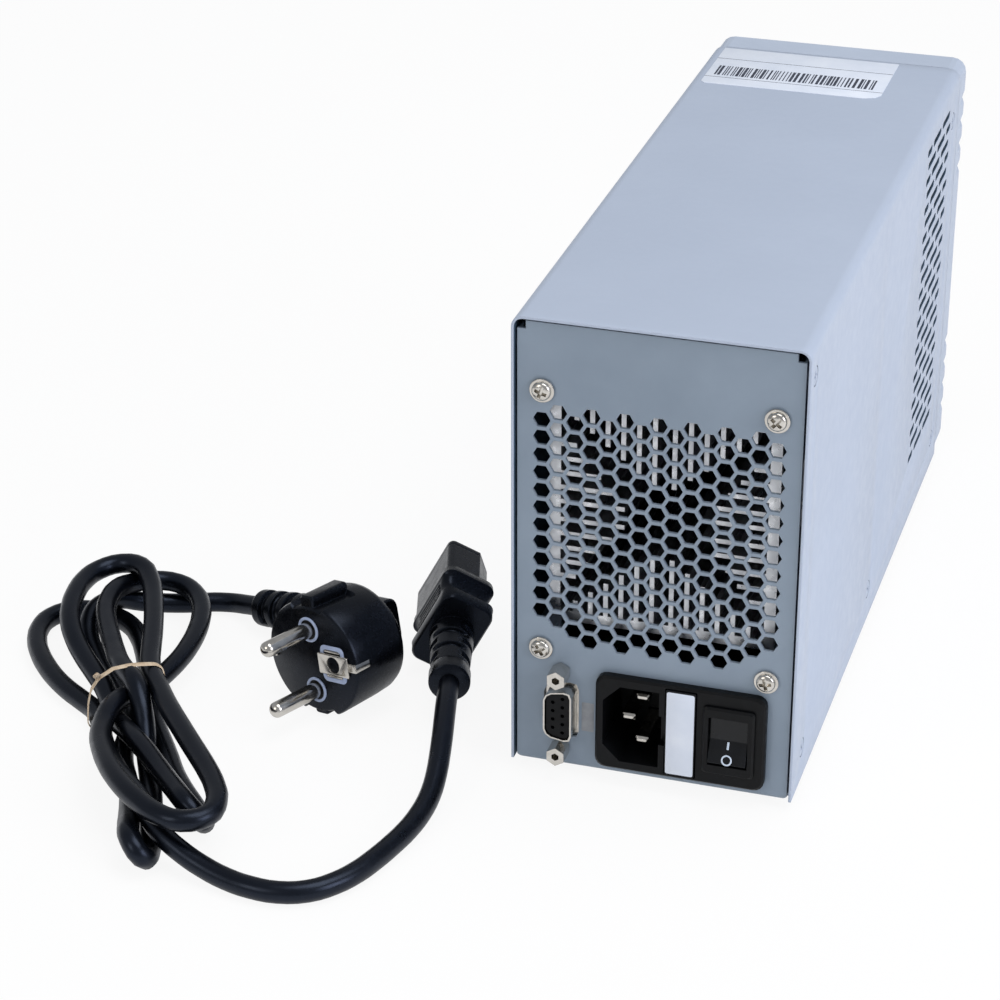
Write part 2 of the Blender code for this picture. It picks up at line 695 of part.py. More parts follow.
def side_rods(radius, low, high):
    """Rods at every cover screw on both sides, between two distances from the middle."""
    bm = bmesh.new()
    for depth, drop in COVER_SCREW_PLACES:
        for side in (-1, 1):
            add_rod(bm, radius, "X", (at(depth), COVER_TOP - drop), side * low, side * high, SMALL_STEPS)
    return bm


def side_screw_holes():
    """Clearance holes for the cover screws through whatever lies behind the cover."""
    return side_rods(COVER_SCREW_SHANK + GAP, COVER_HALF - 2 * COVER_SCREW_LENGTH, COVER_HALF + CUT)


def make_cover():
    bm = bmesh.new()
    outer = arch(COVER_HALF, COVER_BOTTOM, COVER_TOP, COVER_BEND)
    inner = arch(COVER_HALF - COVER_SHEET, COVER_BOTTOM, COVER_TOP - COVER_SHEET,
                 COVER_BEND - COVER_SHEET)
    add_prism(bm, outer + inner[::-1], "Y", at(COVER_LENGTH), at(0))
    piece = finish("cover", bm, powder_coat())
    slots = bmesh.new()
    for row in range(SLOT_ROWS):
        level = COVER_TOP - SLOT_TOP_DROP - row * SLOT_ROW_PITCH
        for rear, front in slot_spans(row):
            add_box(slots, (-COVER_HALF - CUT, at(front), level - SLOT_HEIGHT / 2),
                    (COVER_HALF + CUT, at(rear), level + SLOT_HEIGHT / 2))
    combine(piece, slots, "DIFFERENCE", "slot_cutter")
    shanks = side_rods(COVER_SCREW_SHANK, COVER_HALF - COVER_SCREW_LENGTH, COVER_HALF - COVER_SHEET / 2)
    combine(piece, shanks, "UNION", "screw_shank_form")
    heads = side_rods(COVER_SCREW_HEAD, COVER_HALF - COVER_SCREW_SINK, COVER_HALF + CUT)
    combine(piece, heads, "DIFFERENCE", "screw_head_cutter")


def hex_centres():
    """Middles of the grille's holes; the outer columns stop short above the lower screws."""
    centres = []
    for column in range(HEX_COLUMNS):
        x = (column - (HEX_COLUMNS - 1) / 2) * HEX_COLUMN_PITCH
        raised = column % 2
        edge = min(column, HEX_COLUMNS - 1 - column)
        rows = HEX_ROWS + raised - (1 if edge < HEX_SHORT_COLUMNS else 0)
        top = COVER_TOP - HEX_TOP_DROP + raised * HEX_PITCH / 2
        centres += [(x, top - row * HEX_PITCH) for row in range(rows)]
    return centres


def shell_outline(grow=0.0):
    """The D of the serial connector as (across, up) points, wide side towards -X."""
    long_half = SHELL_LONG / 2 + grow
    short_half = SHELL_SHORT / 2 + grow
    lean = 2 * short_half * math.tan(SHELL_SLANT)
    corners = [(-short_half, long_half), (-short_half, -long_half),
               (short_half, -long_half + lean), (short_half, long_half - lean)]
    points = []
    for i, corner in enumerate(corners):
        here = Vector(corner)
        back = (Vector(corners[i - 1]) - here).normalized()
        ahead = (Vector(corners[(i + 1) % 4]) - here).normalized()
        for toward in (back, (back + ahead).normalized() * SHELL_CORNER_EASE, ahead):
            turned = here + toward * (SHELL_CORNER + grow / 2)
            points.append((SERIAL_X + turned.x, SERIAL_RISE + turned.y))
    return points


def panel_screw_places():
    return [(side * PANEL_SCREW_SIDE, TUNNEL_MID + rise * PANEL_SCREW_RISE)
            for side in (-1, 1) for rise in (-1, 1)]


def jack_places():
    return [(SERIAL_X, SERIAL_RISE + side * JACK_SPACING / 2) for side in (-1, 1)]


def foot_places():
    depths = (FOOT_INSET_END, BASE_LENGTH - FOOT_INSET_END)
    return [(side * FOOT_INSET_SIDE, at(depth)) for side in (-1, 1) for depth in depths]


def chassis_outline():
    """Base and rear panel seen from the side, with the bend between them."""
    face, back = at(PANEL_FACE), at(PANEL_BACK)
    top = COVER_TOP - COVER_SHEET - PANEL_TOP_GAP
    hub = (face - CHASSIS_BEND, BASE_UNDER + CHASSIS_BEND)
    outer, inner = [], []
    for i in range(BEND_STEPS + 1):
        turn = math.radians(-90 * i / BEND_STEPS)
        for points, radius in ((outer, CHASSIS_BEND), (inner, CHASSIS_BEND - CHASSIS_SHEET)):
            points.append((hub[0] + radius * math.cos(turn), hub[1] + radius * math.sin(turn)))
    front = at(BASE_LENGTH)
    return [(face, top)] + outer + [(front, BASE_UNDER), (front, BASE_TOP)] + inner[::-1] + [(back, top)]


def make_chassis():
    bm = bmesh.new()
    add_prism(bm, chassis_outline(), "X", -CHASSIS_HALF, CHASSIS_HALF)
    piece = finish("chassis", bm, panel_paint())
    flanges = bmesh.new()
    tab_top = COVER_TOP - COVER_SHEET - PANEL_TOP_GAP - PANEL_NOTCH - GAP
    for side in (-1, 1):
        wide = sorted((side * CHASSIS_HALF, side * (CHASSIS_HALF - CHASSIS_SHEET)))
        add_box(flanges, (wide[0], at(BASE_LENGTH), BASE_UNDER + CHASSIS_SHEET / 2),
                (wide[1], at(FLANGE_SETBACK), BASE_UNDER + FLANGE_HEIGHT))
        add_box(flanges, (wide[0], at(PANEL_FACE + TAB_DEPTH), tab_top - TAB_HEIGHT),
                (wide[1], at(PANEL_FACE + CHASSIS_SHEET / 2), tab_top))
    combine(piece, flanges, "UNION", "flange_form")
    corners = bmesh.new()
    top = COVER_TOP - COVER_SHEET - PANEL_TOP_GAP
    for side in (-1, 1):
        edge = side * CHASSIS_HALF
        beyond = side * (CHASSIS_HALF + CUT)
        inside = side * (CHASSIS_HALF - PANEL_NOTCH)
        wide = sorted((beyond, inside))
        add_box(corners, (wide[0], at(PANEL_BACK + CUT), top - PANEL_NOTCH),
                (wide[1], at(PANEL_FACE - CUT), top + CUT))
        chamfer = side * (CHASSIS_HALF - PANEL_CHAMFER)
        wedge = [(chamfer, BASE_UNDER - CUT), (beyond, BASE_UNDER - CUT),
                 (beyond, BASE_UNDER + PANEL_CHAMFER), (edge, BASE_UNDER + PANEL_CHAMFER),
                 (chamfer, BASE_UNDER)]
        add_prism(corners, wedge, "Y", at(PANEL_BACK + CHASSIS_BEND), at(PANEL_FACE - CUT))
    combine(piece, corners, "DIFFERENCE", "panel_corner_cutter")
    holes = bmesh.new()
    rear, front = at(PANEL_FACE - CUT), at(PANEL_BACK + CUT)
    for centre in hex_centres():
        add_prism(holes, hexagon(HEX_ACROSS, centre), "Y", front, rear)
    for centre in panel_screw_places():
        radius = PANEL_SCREW_SHANK + GAP
        add_rod(holes, radius, "Y", centre, front, rear)
    for centre in jack_places():
        radius = JACK_SHANK + GAP
        add_rod(holes, radius, "Y", centre, front, rear)
    body = rounded(INLET_WIDTH - 2 * INLET_LAND + 2 * GAP, INLET_HEIGHT - 2 * INLET_LAND + 2 * GAP,
                   CUT, 1, (INLET_X, INLET_RISE))
    add_prism(holes, body, "Y", front, rear)
    add_prism(holes, shell_outline(SERIAL_WINDOW), "Y", front, rear)
    combine(piece, holes, "DIFFERENCE", "panel_hole_cutter")
    combine(piece, side_screw_holes(), "DIFFERENCE", "flange_hole_cutter")
    combine(piece, chassis_fittings(), "UNION", "fitting_form")


def chassis_fittings():
    """What is fixed in the sheet: feet, board standoffs and the sleeves that hold the heatsink off."""
    bm = bmesh.new()
    foot = [(0, 0), (FOOT_RADIUS - FOOT_TAPER, 0), (FOOT_RADIUS, FOOT_TAPER),
            (FOOT_RADIUS, BASE_UNDER + CHASSIS_SHEET / 2), (0, BASE_UNDER + CHASSIS_SHEET / 2)]
    for centre in foot_places():
        add_turned(bm, foot, "Z", centre, COARSE_STEPS)
    reach = STANDOFF_ACROSS / math.sqrt(3)
    root = BASE_TOP - CHASSIS_SHEET / 2
    tip = BOARD_UNDER + STANDOFF_STUD_REACH
    post = [(0, root), (reach, root), (reach, BOARD_UNDER - GAP), (STANDOFF_STUD, BOARD_UNDER - GAP),
            (STANDOFF_STUD, tip), (0, tip)]
    for centre in standoff_places():
        add_turned(bm, post, "Z", centre, 6)
    for centre in panel_screw_places():
        add_sleeve(bm, SPACER_ACROSS, PANEL_SCREW_SHANK + GAP, "Y", centre,
                   at(TUNNEL_REAR - GAP), at(PANEL_BACK - CHASSIS_SHEET / 2))
    return bm


def make_panel_screws():
    """Pan heads with a washer, turned as one piece each."""
    face = at(PANEL_FACE - GAP)
    under = face + PANEL_WASHER_THICK
    top = under + PANEL_SCREW_HEAD_HEIGHT
    end = face - PANEL_SCREW_LENGTH
    shoulder = under + PANEL_SCREW_HEAD_HEIGHT / 2
    profile = [(0, end), (PANEL_SCREW_SHANK, end), (PANEL_SCREW_SHANK, face), (PANEL_WASHER, face),
               (PANEL_WASHER, under), (PANEL_SCREW_HEAD, under), (PANEL_SCREW_HEAD, shoulder),
               (PANEL_SCREW_CROWN, top), (0, top)]
    for number, centre in enumerate(panel_screw_places(), 1):
        bm = bmesh.new()
        add_turned(bm, profile, "Y", centre, COARSE_STEPS)
        finish("panel_screw_%d" % number, bm, bright_metal(), smooth=True)


# Heatsink tunnel, fan and electronics

def fin_rows(count):
    return [FIN_FIRST + i * FIN_PITCH for i in range(count)]


def heatsink_outline():
    """One half of the tunnel seen from the rear, for the +X side, about the tunnel's middle."""
    inner_x = TUNNEL_HALF_WIDTH - TUNNEL_WALL
    inner_z = TUNNEL_HALF_HEIGHT - TUNNEL_WALL
    ear_left = PANEL_SCREW_SIDE - EAR_HALF_WIDTH
    ear_right = PANEL_SCREW_SIDE + EAR_HALF_WIDTH
    ear_top = PANEL_SCREW_RISE + EAR_HALF_WIDTH
    half = FIN_THICK / 2
    top_fins, side_fins = fin_rows(TOP_FIN_ROWS), fin_rows(SIDE_FIN_ROWS)
    top_slope = (inner_z - TOP_FIN_SHORTEST - FIN_CORE) / (top_fins[-1] - FIN_FIRST)
    side_slope = (inner_x - SIDE_FIN_SHORTEST - FIN_CORE) / (side_fins[-1] - FIN_FIRST)
    upper = [(GAP / 2, TUNNEL_HALF_HEIGHT), (ear_left, TUNNEL_HALF_HEIGHT),
             (ear_left, ear_top - EAR_CORNER), (ear_left + EAR_CORNER, ear_top),
             (ear_right - EAR_CORNER, ear_top), (ear_right, ear_top - EAR_CORNER),
             (ear_right, PANEL_SCREW_RISE - EAR_HALF_WIDTH),
             (TUNNEL_HALF_WIDTH, TUNNEL_HALF_HEIGHT - EAR_CORNER)]
    inside = [(GAP / 2, inner_z)]
    for x in top_fins:
        tip = FIN_CORE + top_slope * (x - FIN_FIRST)
        inside += [(x - half, inner_z), (x - half, tip), (x + half, tip), (x + half, inner_z)]
    inside.append((inner_x, inner_z))
    for z in side_fins[::-1]:
        tip = FIN_CORE + side_slope * (z - FIN_FIRST)
        inside += [(inner_x, z + half), (tip, z + half), (tip, z - half), (inner_x, z - half)]
    lower = [(x, -z) for x, z in upper[::-1]]
    inside_low = [(x, -z) for x, z in inside]
    return upper + lower + inside_low + inside[::-1]


def make_heatsink(name, side):
    bm = bmesh.new()
    outline = [(side * x, TUNNEL_MID + z) for x, z in heatsink_outline()]
    add_prism(bm, outline, "Y", at(TUNNEL_FRONT), at(TUNNEL_REAR))
    piece = finish(name, bm, raw_aluminium())
    holes = bmesh.new()
    radius = PANEL_SCREW_SHANK + GAP
    mouth = at(TUNNEL_REAR) + CUT
    end = at(PANEL_FACE + PANEL_SCREW_LENGTH + CUT)
    for x, z in panel_screw_places():
        if x * side > 0:
            add_rod(holes, radius, "Y", (x, z), end, mouth)
    combine(piece, holes, "DIFFERENCE", name + "_hole_cutter")
    combine(piece, transistors(side), "UNION", name + "_transistor_form")


def transistors(side):
    """The row of power transistors on one outer wall, each with its thin metal tab on top."""
    bm = bmesh.new()
    seat = TUNNEL_HALF_WIDTH - CUT / 2
    thin = TUNNEL_HALF_WIDTH + TRANSISTOR_TAB
    full = TUNNEL_HALF_WIDTH + TRANSISTOR_THICK
    low = TUNNEL_MID - TRANSISTOR_HEIGHT / 2
    high = TUNNEL_MID + TRANSISTOR_HEIGHT / 2
    step = high - TRANSISTOR_TAB_HEIGHT
    outline = [(seat, low), (full, low), (full, step), (thin, step), (thin, high), (seat, high)]
    outline = [(side * x, z) for x, z in outline]
    for depth in TRANSISTOR_PLACES:
        add_prism(bm, outline, "Y", at(depth + TRANSISTOR_WIDTH), at(depth))
    return bm


def fan_screw_places():
    return [(i * FAN_SCREW_OFFSET, TUNNEL_MID + j * FAN_SCREW_OFFSET) for i in (-1, 1) for j in (-1, 1)]


def make_fan_frame():
    bm = bmesh.new()
    outline = rounded(FAN_SIZE, FAN_SIZE, FAN_SHAFT * 2, 1, (0, TUNNEL_MID))
    add_prism(bm, outline, "Y", at(FAN_FRONT), at(FAN_REAR))
    piece = finish("fan_frame", bm, black_plastic())
    bores = bmesh.new()
    rear, front = at(FAN_REAR) + CUT, at(FAN_FRONT) - CUT
    add_turned(bores, [(0, front), (FAN_DUCT, front), (FAN_DUCT, rear), (0, rear)], "Y", (0, TUNNEL_MID), 32)
    combine(piece, bores, "DIFFERENCE", "fan_duct_cutter")
    mount = bmesh.new()
    low, high = at(FAN_REAR + FAN_MOTOR_THICK), at(FAN_REAR)
    half = FAN_STRUT_WIDTH / 2
    reach = FAN_DUCT + CUT / 2
    cross = []
    for quarter in range(4):
        turn = Matrix.Rotation(math.radians(90 * quarter), 2)
        for i in range(-1, 2):
            swing = math.radians(90 * quarter + 45 + i * 22)
            cross_point = (FAN_HUB * math.cos(swing), FAN_HUB * math.sin(swing))
            if i == -1:
                for corner in ((reach, -half), (reach, half)):
                    arm = turn @ Vector(corner)
                    cross.append((arm.x, TUNNEL_MID + arm.y))
            cross.append((cross_point[0], TUNNEL_MID + cross_point[1]))
    add_prism(mount, cross, "Y", low, high)
    combine(piece, mount, "UNION", "fan_strut_form")
    shaft = bmesh.new()
    add_rod(shaft, FAN_SHAFT + GAP, "Y", (0, TUNNEL_MID), low - CUT, high + CUT)
    combine(piece, shaft, "DIFFERENCE", "fan_shaft_cutter")
    screws = bmesh.new()
    seat = at(FAN_FRONT) + CUT
    head = at(FAN_FRONT + FAN_SCREW_HEAD_HEIGHT)
    for centre in fan_screw_places():
        add_rod(screws, FAN_SCREW_HEAD, "Y", centre, head, seat, SMALL_STEPS)
        add_rod(screws, FAN_SCREW_SHANK, "Y", centre, at(FAN_REAR + CUT), at(FAN_REAR - FAN_SCREW_REACH),
                SMALL_STEPS)
    combine(piece, screws, "UNION", "fan_screw_form")


def blade_form():
    """Twisted blades that start inside the hub."""
    bm = bmesh.new()
    middle = (at(FAN_REAR + FAN_MOTOR_THICK) + at(FAN_FRONT)) / 2
    stations = 3
    chord_steps = 3
    for blade in range(FAN_BLADES):
        rings = []
        for i in range(stations):
            share = i / (stations - 1)
            radius = FAN_BLADE_ROOT + (FAN_BLADE_TIP - FAN_BLADE_ROOT) * share
            pitch = FAN_ROOT_ANGLE + (FAN_TIP_ANGLE - FAN_ROOT_ANGLE) * share
            ring = []
            faces = ((1, range(chord_steps + 1)), (-1, range(chord_steps, -1, -1)))
            for face, order in faces:
                for j in order:
                    across = (j / chord_steps - 0.5) * FAN_BLADE_CHORD
                    camber = FAN_BLADE_THICK * (1 - (2 * j / chord_steps - 1) ** 2)
                    lift = camber + face * FAN_BLADE_THICK / 2
                    sweep = across * math.cos(pitch) - lift * math.sin(pitch)
                    along = across * math.sin(pitch) + lift * math.cos(pitch)
                    turn = math.tau * blade / FAN_BLADES + sweep / radius
                    ring.append(bm.verts.new((radius * math.cos(turn), middle + along,
                                              TUNNEL_MID + radius * math.sin(turn))))
            rings.append(ring)
        bm.faces.new(rings[0])
        bm.faces.new(rings[-1])
        for first, second in zip(rings, rings[1:]):
            bridge(bm, first, second)
    return bm


def make_fan_rotor():
    bm = bmesh.new()
    back = at(FAN_REAR + FAN_MOTOR_THICK + GAP)
    front = at(FAN_FRONT) + CUT
    tail = at(FAN_REAR + GAP)
    rim = FAN_HUB - CUT
    profile = [(0, tail), (FAN_SHAFT, tail), (FAN_SHAFT, back), (FAN_HUB, back), (FAN_HUB, front + CUT),
               (rim, front), (0, front)]
    add_turned(bm, profile, "Y", (0, TUNNEL_MID), FINE_STEPS)
    piece = finish("fan_rotor", bm, black_plastic(), smooth=True)
    helper = combine(piece, blade_form(), "UNION", "fan_blade_form")
    pivot = (0, at(FAN_REAR), TUNNEL_MID)
    set_origin(piece, pivot)
    helper.parent = piece
    helper.matrix_parent_inverse = Matrix.Translation(-Vector(pivot))


def standoff_places():
    side = MAIN_BOARD_HALF - STANDOFF_INSET
    depths = (MAIN_BOARD_REAR + STANDOFF_INSET, MAIN_BOARD_FRONT - STANDOFF_INSET)
    return [(i * side, at(depth)) for i in (-1, 1) for depth in depths]


def make_main_board():
    bm = bmesh.new()
    add_box(bm, (-MAIN_BOARD_HALF, at(MAIN_BOARD_FRONT), BOARD_UNDER),
            (MAIN_BOARD_HALF, at(MAIN_BOARD_REAR), BOARD_TOP))
    piece = finish("main_board", bm, board_laminate())
    holes = bmesh.new()
    for centre in standoff_places():
        add_rod(holes, STANDOFF_STUD + GAP, "Z", centre, BOARD_UNDER - CUT, BOARD_TOP + CUT, SMALL_STEPS)
    combine(piece, holes, "DIFFERENCE", "board_hole_cutter")


def make_transformer():
    """Laminated frame with the winding bobbin standing proud on both sides of its windows."""
    bm = bmesh.new()
    low = BOARD_TOP + GAP
    rear, front = at(TRANSFORMER_REAR), at(TRANSFORMER_REAR + TRANSFORMER_LENGTH)
    half = TRANSFORMER_WIDTH / 2
    middle = low + TRANSFORMER_HEIGHT / 2
    leg = TRANSFORMER_WINDOW
    core_rear, core_front = rear - TRANSFORMER_LENGTH / 4, front + TRANSFORMER_LENGTH / 4
    outline = rounded(2 * half, TRANSFORMER_HEIGHT, CUT, 1, (0, middle))
    add_prism(bm, outline, "Y", core_front, core_rear)
    piece = finish("mains_transformer", bm, paint("laminated_steel", "6B6E73", 0.5, 0.8))
    coil = bmesh.new()
    bobbin = rounded(2 * (half - leg), TRANSFORMER_HEIGHT - 2 * CUT, CUT * 2, 2, (0, middle))
    add_prism(coil, bobbin, "Y", front, rear)
    combine(piece, coil, "UNION", "bobbin_form")


def make_capacitor():
    bm = bmesh.new()
    low = BOARD_TOP + GAP
    high = low + CAPACITOR_HEIGHT
    groove = low + CAPACITOR_GROOVE
    waist = CAPACITOR_RADIUS - CUT
    profile = [(0, low), (CAPACITOR_RADIUS, low), (CAPACITOR_RADIUS, groove - CUT), (waist, groove),
               (CAPACITOR_RADIUS, groove + CUT), (CAPACITOR_RADIUS, high), (0, high)]
    x, depth = CAPACITOR_PLACE
    add_turned(bm, profile, "Z", (x, at(depth)), FINE_STEPS)
    finish("main_capacitor", bm, paint("capacitor_sleeve", "20242E", 0.4), smooth=True)


# Front bezel and panel

def make_bezel():
    bm = bmesh.new()
    height = COVER_TOP - COVER_BOTTOM
    middle = (COVER_TOP + COVER_BOTTOM) / 2
    lip_out = COVER_SHEET + GAP
    lip_in = lip_out + BEZEL_LIP
    ease = BEZEL_ROUND * (1 - math.sqrt(0.5))
    stations = [(0, BEZEL_REAR), (0, BEZEL_FRONT - BEZEL_ROUND), (ease, BEZEL_FRONT - ease),
                (BEZEL_ROUND, BEZEL_FRONT), (BEZEL_RIM, BEZEL_FRONT), (BEZEL_RIM, FASCIA_REAR - GAP),
                (BEZEL_SEAT, FASCIA_REAR - GAP), (BEZEL_SEAT, BEZEL_REAR), (lip_in, BEZEL_REAR),
                (lip_in, BEZEL_REAR - BEZEL_LIP_REACH), (lip_out, BEZEL_REAR - BEZEL_LIP_REACH),
                (lip_out, BEZEL_REAR)]
    sections = []
    for inset, depth in stations:
        corner = max(BEZEL_CORNER - inset, FASCIA_CORNER)
        outline = rounded(COVER_WIDTH - 2 * inset, height - 2 * inset, corner, CORNER_STEPS, (0, middle))
        sections.append((outline, at(depth)))
    add_loft(bm, sections, closed=True)
    piece = finish("front_bezel", bm, bezel_plastic(), smooth=True)
    ears = bmesh.new()
    screw_drop = COVER_SCREW_PLACES[-1][1]
    for side in (-1, 1):
        wide = sorted((side * (COVER_HALF - lip_out), side * (COVER_HALF - lip_out - BEZEL_EAR_THICK)))
        add_box(ears, (wide[0], at(BEZEL_REAR + CUT), COVER_TOP - screw_drop - BEZEL_EAR_HEIGHT / 2),
                (wide[1], at(BEZEL_REAR - BEZEL_EAR_REACH), COVER_TOP - screw_drop + BEZEL_EAR_HEIGHT / 2))
    combine(piece, ears, "UNION", "bezel_ear_form")
    combine(piece, side_screw_holes(), "DIFFERENCE", "ear_hole_cutter")
    combine(piece, scoops(), "DIFFERENCE", "scoop_cutter")


def scoops():
    """Finger scoops along the front edges of both sides, deep in front and fading rearwards."""
    bm = bmesh.new()
    steps = 10
    drops = []
    for first in (SCOOP_TOP_DROP, SCOOP_BOTTOM_DROP):
        drops += [first + i * SCOOP_PITCH for i in range(SCOOP_COUNT)]
    for side in (-1, 1):
        for drop in drops:
            sections = []
            for depth, bite in ((BEZEL_FRONT - SCOOP_LENGTH, 0.0), (BEZEL_FRONT + CUT, SCOOP_DEPTH)):
                hub = side * (COVER_HALF - bite + SCOOP_RADIUS)
                sections.append((circle(SCOOP_RADIUS, (hub, COVER_TOP - drop), steps), at(depth)))
            add_loft(bm, sections)
    return bm


def key_places():
    """Every key as (name, centre, size)."""
    keys = []
    for i in range(SOFT_KEYS):
        x = (i - (SOFT_KEYS - 1) / 2) * SOFT_KEY_PITCH
        keys.append(("key_soft_%d" % (i + 1), (x, SOFT_KEY_RISE), SOFT_KEY_SIZE))
    for i in range(MODE_KEYS):
        x = MODE_KEY_LEFT + (i % 2) * MODE_KEY_PITCH
        z = MODE_KEY_RISE - (i // 2) * MODE_KEY_STEP
        keys.append(("key_mode_%d" % (i + 1), (x, z), MODE_KEY_SIZE))
    keys.append(("key_input", INPUT_KEY_PLACE, INPUT_KEY_SIZE))
    return keys


def post_places():
    return (("negative", (-POST_OFFSET, POST_RISE)), ("positive", (POST_OFFSET, POST_RISE)))


def make_front_panel():
    bm = bmesh.new()
    width = COVER_WIDTH - 2 * (BEZEL_RIM + GAP)
    height = COVER_HEIGHT - 2 * (BEZEL_RIM + GAP)
    middle = (COVER_TOP + COVER_BOTTOM) / 2
    outline = rounded(width, height, FASCIA_CORNER, 2, (0, middle))
    add_prism(bm, outline, "Y", at(FASCIA_FRONT), at(FASCIA_REAR))
    piece = finish("front_panel", bm, paint("dark_panel", "2E3238", 0.5))
    holes = bmesh.new()
    rear, front = at(FASCIA_REAR) + CUT, at(FASCIA_FRONT) - CUT
    window = rounded(WINDOW_WIDTH + 2 * GAP, WINDOW_HEIGHT + 2 * GAP, WINDOW_CORNER, 2,
                     (0, COVER_TOP - WINDOW_DROP))
    add_prism(holes, window, "Y", front, rear)
    for _, centre, size in key_places():
        outline = rounded(size[0] + 2 * GAP, size[1] + 2 * GAP, KEY_CORNER, 1, centre)
        add_prism(holes, outline, "Y", front, rear)
    round_holes = [(KNOB_PLACE, BUSHING_RADIUS + GAP)]
    round_holes += [(centre, POST_NECK_RADIUS + GAP) for _, centre in post_places()]
    round_holes += [((side * SENSE_OFFSET, POST_RISE), SENSE_BODY_RADIUS + GAP) for side in (-1, 1)]
    for centre, radius in round_holes:
        add_rod(holes, radius, "Y", centre, front, rear)
    combine(piece, holes, "DIFFERENCE", "front_panel_cutter")


def make_display():
    centre = (0, COVER_TOP - WINDOW_DROP)
    bm = bmesh.new()
    add_prism(bm, rounded(WINDOW_WIDTH, WINDOW_HEIGHT, WINDOW_CORNER, 2, centre), "Y",
              at(FASCIA_REAR + WINDOW_THICK), at(FASCIA_REAR))
    finish("display_window", bm, paint("clear_window", "B8C4CC", 0.08, alpha=0.35))
    bm = bmesh.new()
    back = FASCIA_REAR - GAP - DISPLAY_THICK
    outline = rounded(WINDOW_WIDTH + 2 * DISPLAY_MARGIN, WINDOW_HEIGHT + 2 * DISPLAY_MARGIN,
                      CUT, 1, centre)
    add_prism(bm, outline, "Y", at(FASCIA_REAR - GAP), at(back))
    finish("display_module", bm, paint("display_glass", "23303A", 0.2))


def board_face():
    """Depth of the control board's front face."""
    return FASCIA_REAR - CONTROL_BOARD_GAP


def make_control_board():
    bm = bmesh.new()
    half = COVER_HALF - BEZEL_SEAT - 2 * GAP
    top = COVER_TOP - BEZEL_SEAT - 2 * GAP
    add_box(bm, (-half, at(board_face()), CONTROL_BOARD_BOTTOM),
            (half, at(board_face() - BOARD_THICK), top))
    finish("control_board", bm, board_laminate())


def make_keys():
    """Caps that stand through the panel, with a flange behind it and a stem to the board's switch."""
    for name, centre, size in key_places():
        bm = bmesh.new()
        lip_front = FASCIA_REAR - GAP
        lip_rear = lip_front - KEY_FLANGE
        stem_end = board_face() + KEY_TRAVEL + GAP
        cap = FASCIA_FRONT + KEY_PROUD
        shrink = KEY_CORNER / 2
        lip = (size[0] + 2 * KEY_LIP, size[1] + 2 * KEY_LIP)
        stations = [(KEY_STEM * 2, KEY_STEM * 2, stem_end), (KEY_STEM * 2, KEY_STEM * 2, lip_rear),
                    (lip[0], lip[1], lip_rear), (lip[0], lip[1], lip_front),
                    (size[0], size[1], lip_front), (size[0], size[1], cap - shrink),
                    (size[0] - shrink, size[1] - shrink, cap)]
        add_loft(bm, [(rounded(wide, tall, min(KEY_CORNER, wide / 4), 1, centre), at(depth))
                      for wide, tall, depth in stations])
        piece = finish(name, bm, paint("silicone_key", "5A616B", 0.6))
        set_origin(piece, (centre[0], at(FASCIA_FRONT), centre[1]))


def make_encoder():
    bm = bmesh.new()
    board = board_face() + GAP
    face = board + ENCODER_DEPTH
    half = ENCODER_SIZE / 2
    add_prism(bm, rounded(ENCODER_SIZE, ENCODER_SIZE, CUT, 1, KNOB_PLACE), "Y", at(face), at(board))
    piece = finish("encoder", bm, bright_metal())
    neck = bmesh.new()
    tip = FASCIA_FRONT + BUSHING_REACH
    add_rod(neck, BUSHING_RADIUS, "Y", KNOB_PLACE, at(tip), at(board + CUT), FINE_STEPS)
    combine(piece, neck, "UNION", "bushing_form")
    bore = bmesh.new()
    add_rod(bore, SHAFT_RADIUS + GAP / 2, "Y", KNOB_PLACE, at(tip + CUT), at(board + CUT), FINE_STEPS)
    combine(piece, bore, "DIFFERENCE", "bushing_bore_cutter")


def make_knob():
    shaft = bmesh.new()
    tail = board_face() + GAP + CUT + GAP
    tip = FASCIA_FRONT + SHAFT_REACH
    add_rod(shaft, SHAFT_RADIUS, "Y", KNOB_PLACE, at(tip), at(tail), FINE_STEPS)
    spindle = finish("encoder_shaft", shaft, raw_aluminium(), smooth=True)
    bm = bmesh.new()
    bushing_end = FASCIA_FRONT + BUSHING_REACH + GAP
    wide_bore = BUSHING_RADIUS + 2 * GAP
    fit_bore = SHAFT_RADIUS + GAP
    rim = KNOB_TOP_RADIUS - KNOB_ROUND
    profile = [(0, at(tip + GAP)), (fit_bore, at(tip + GAP)), (fit_bore, at(bushing_end)),
               (wide_bore, at(bushing_end)), (wide_bore, at(KNOB_REAR)), (KNOB_RADIUS, at(KNOB_REAR)),
               (KNOB_TOP_RADIUS, at(KNOB_FRONT - KNOB_ROUND)), (rim, at(KNOB_FRONT)),
               (KNOB_TOP_RADIUS / 2, at(KNOB_FRONT - KNOB_DISH)), (0, at(KNOB_FRONT - KNOB_DISH))]
    add_turned(bm, profile, "Y", KNOB_PLACE, FINE_STEPS, KNOB_FLUTES, KNOB_FLUTE_DEPTH, rim)
    knob = finish("knob", bm, paint("knob_plastic", "3A3F47", 0.5), smooth=True)
    for piece in (spindle, knob):
        set_origin(piece, (KNOB_PLACE[0], at(FASCIA_FRONT), KNOB_PLACE[1]))


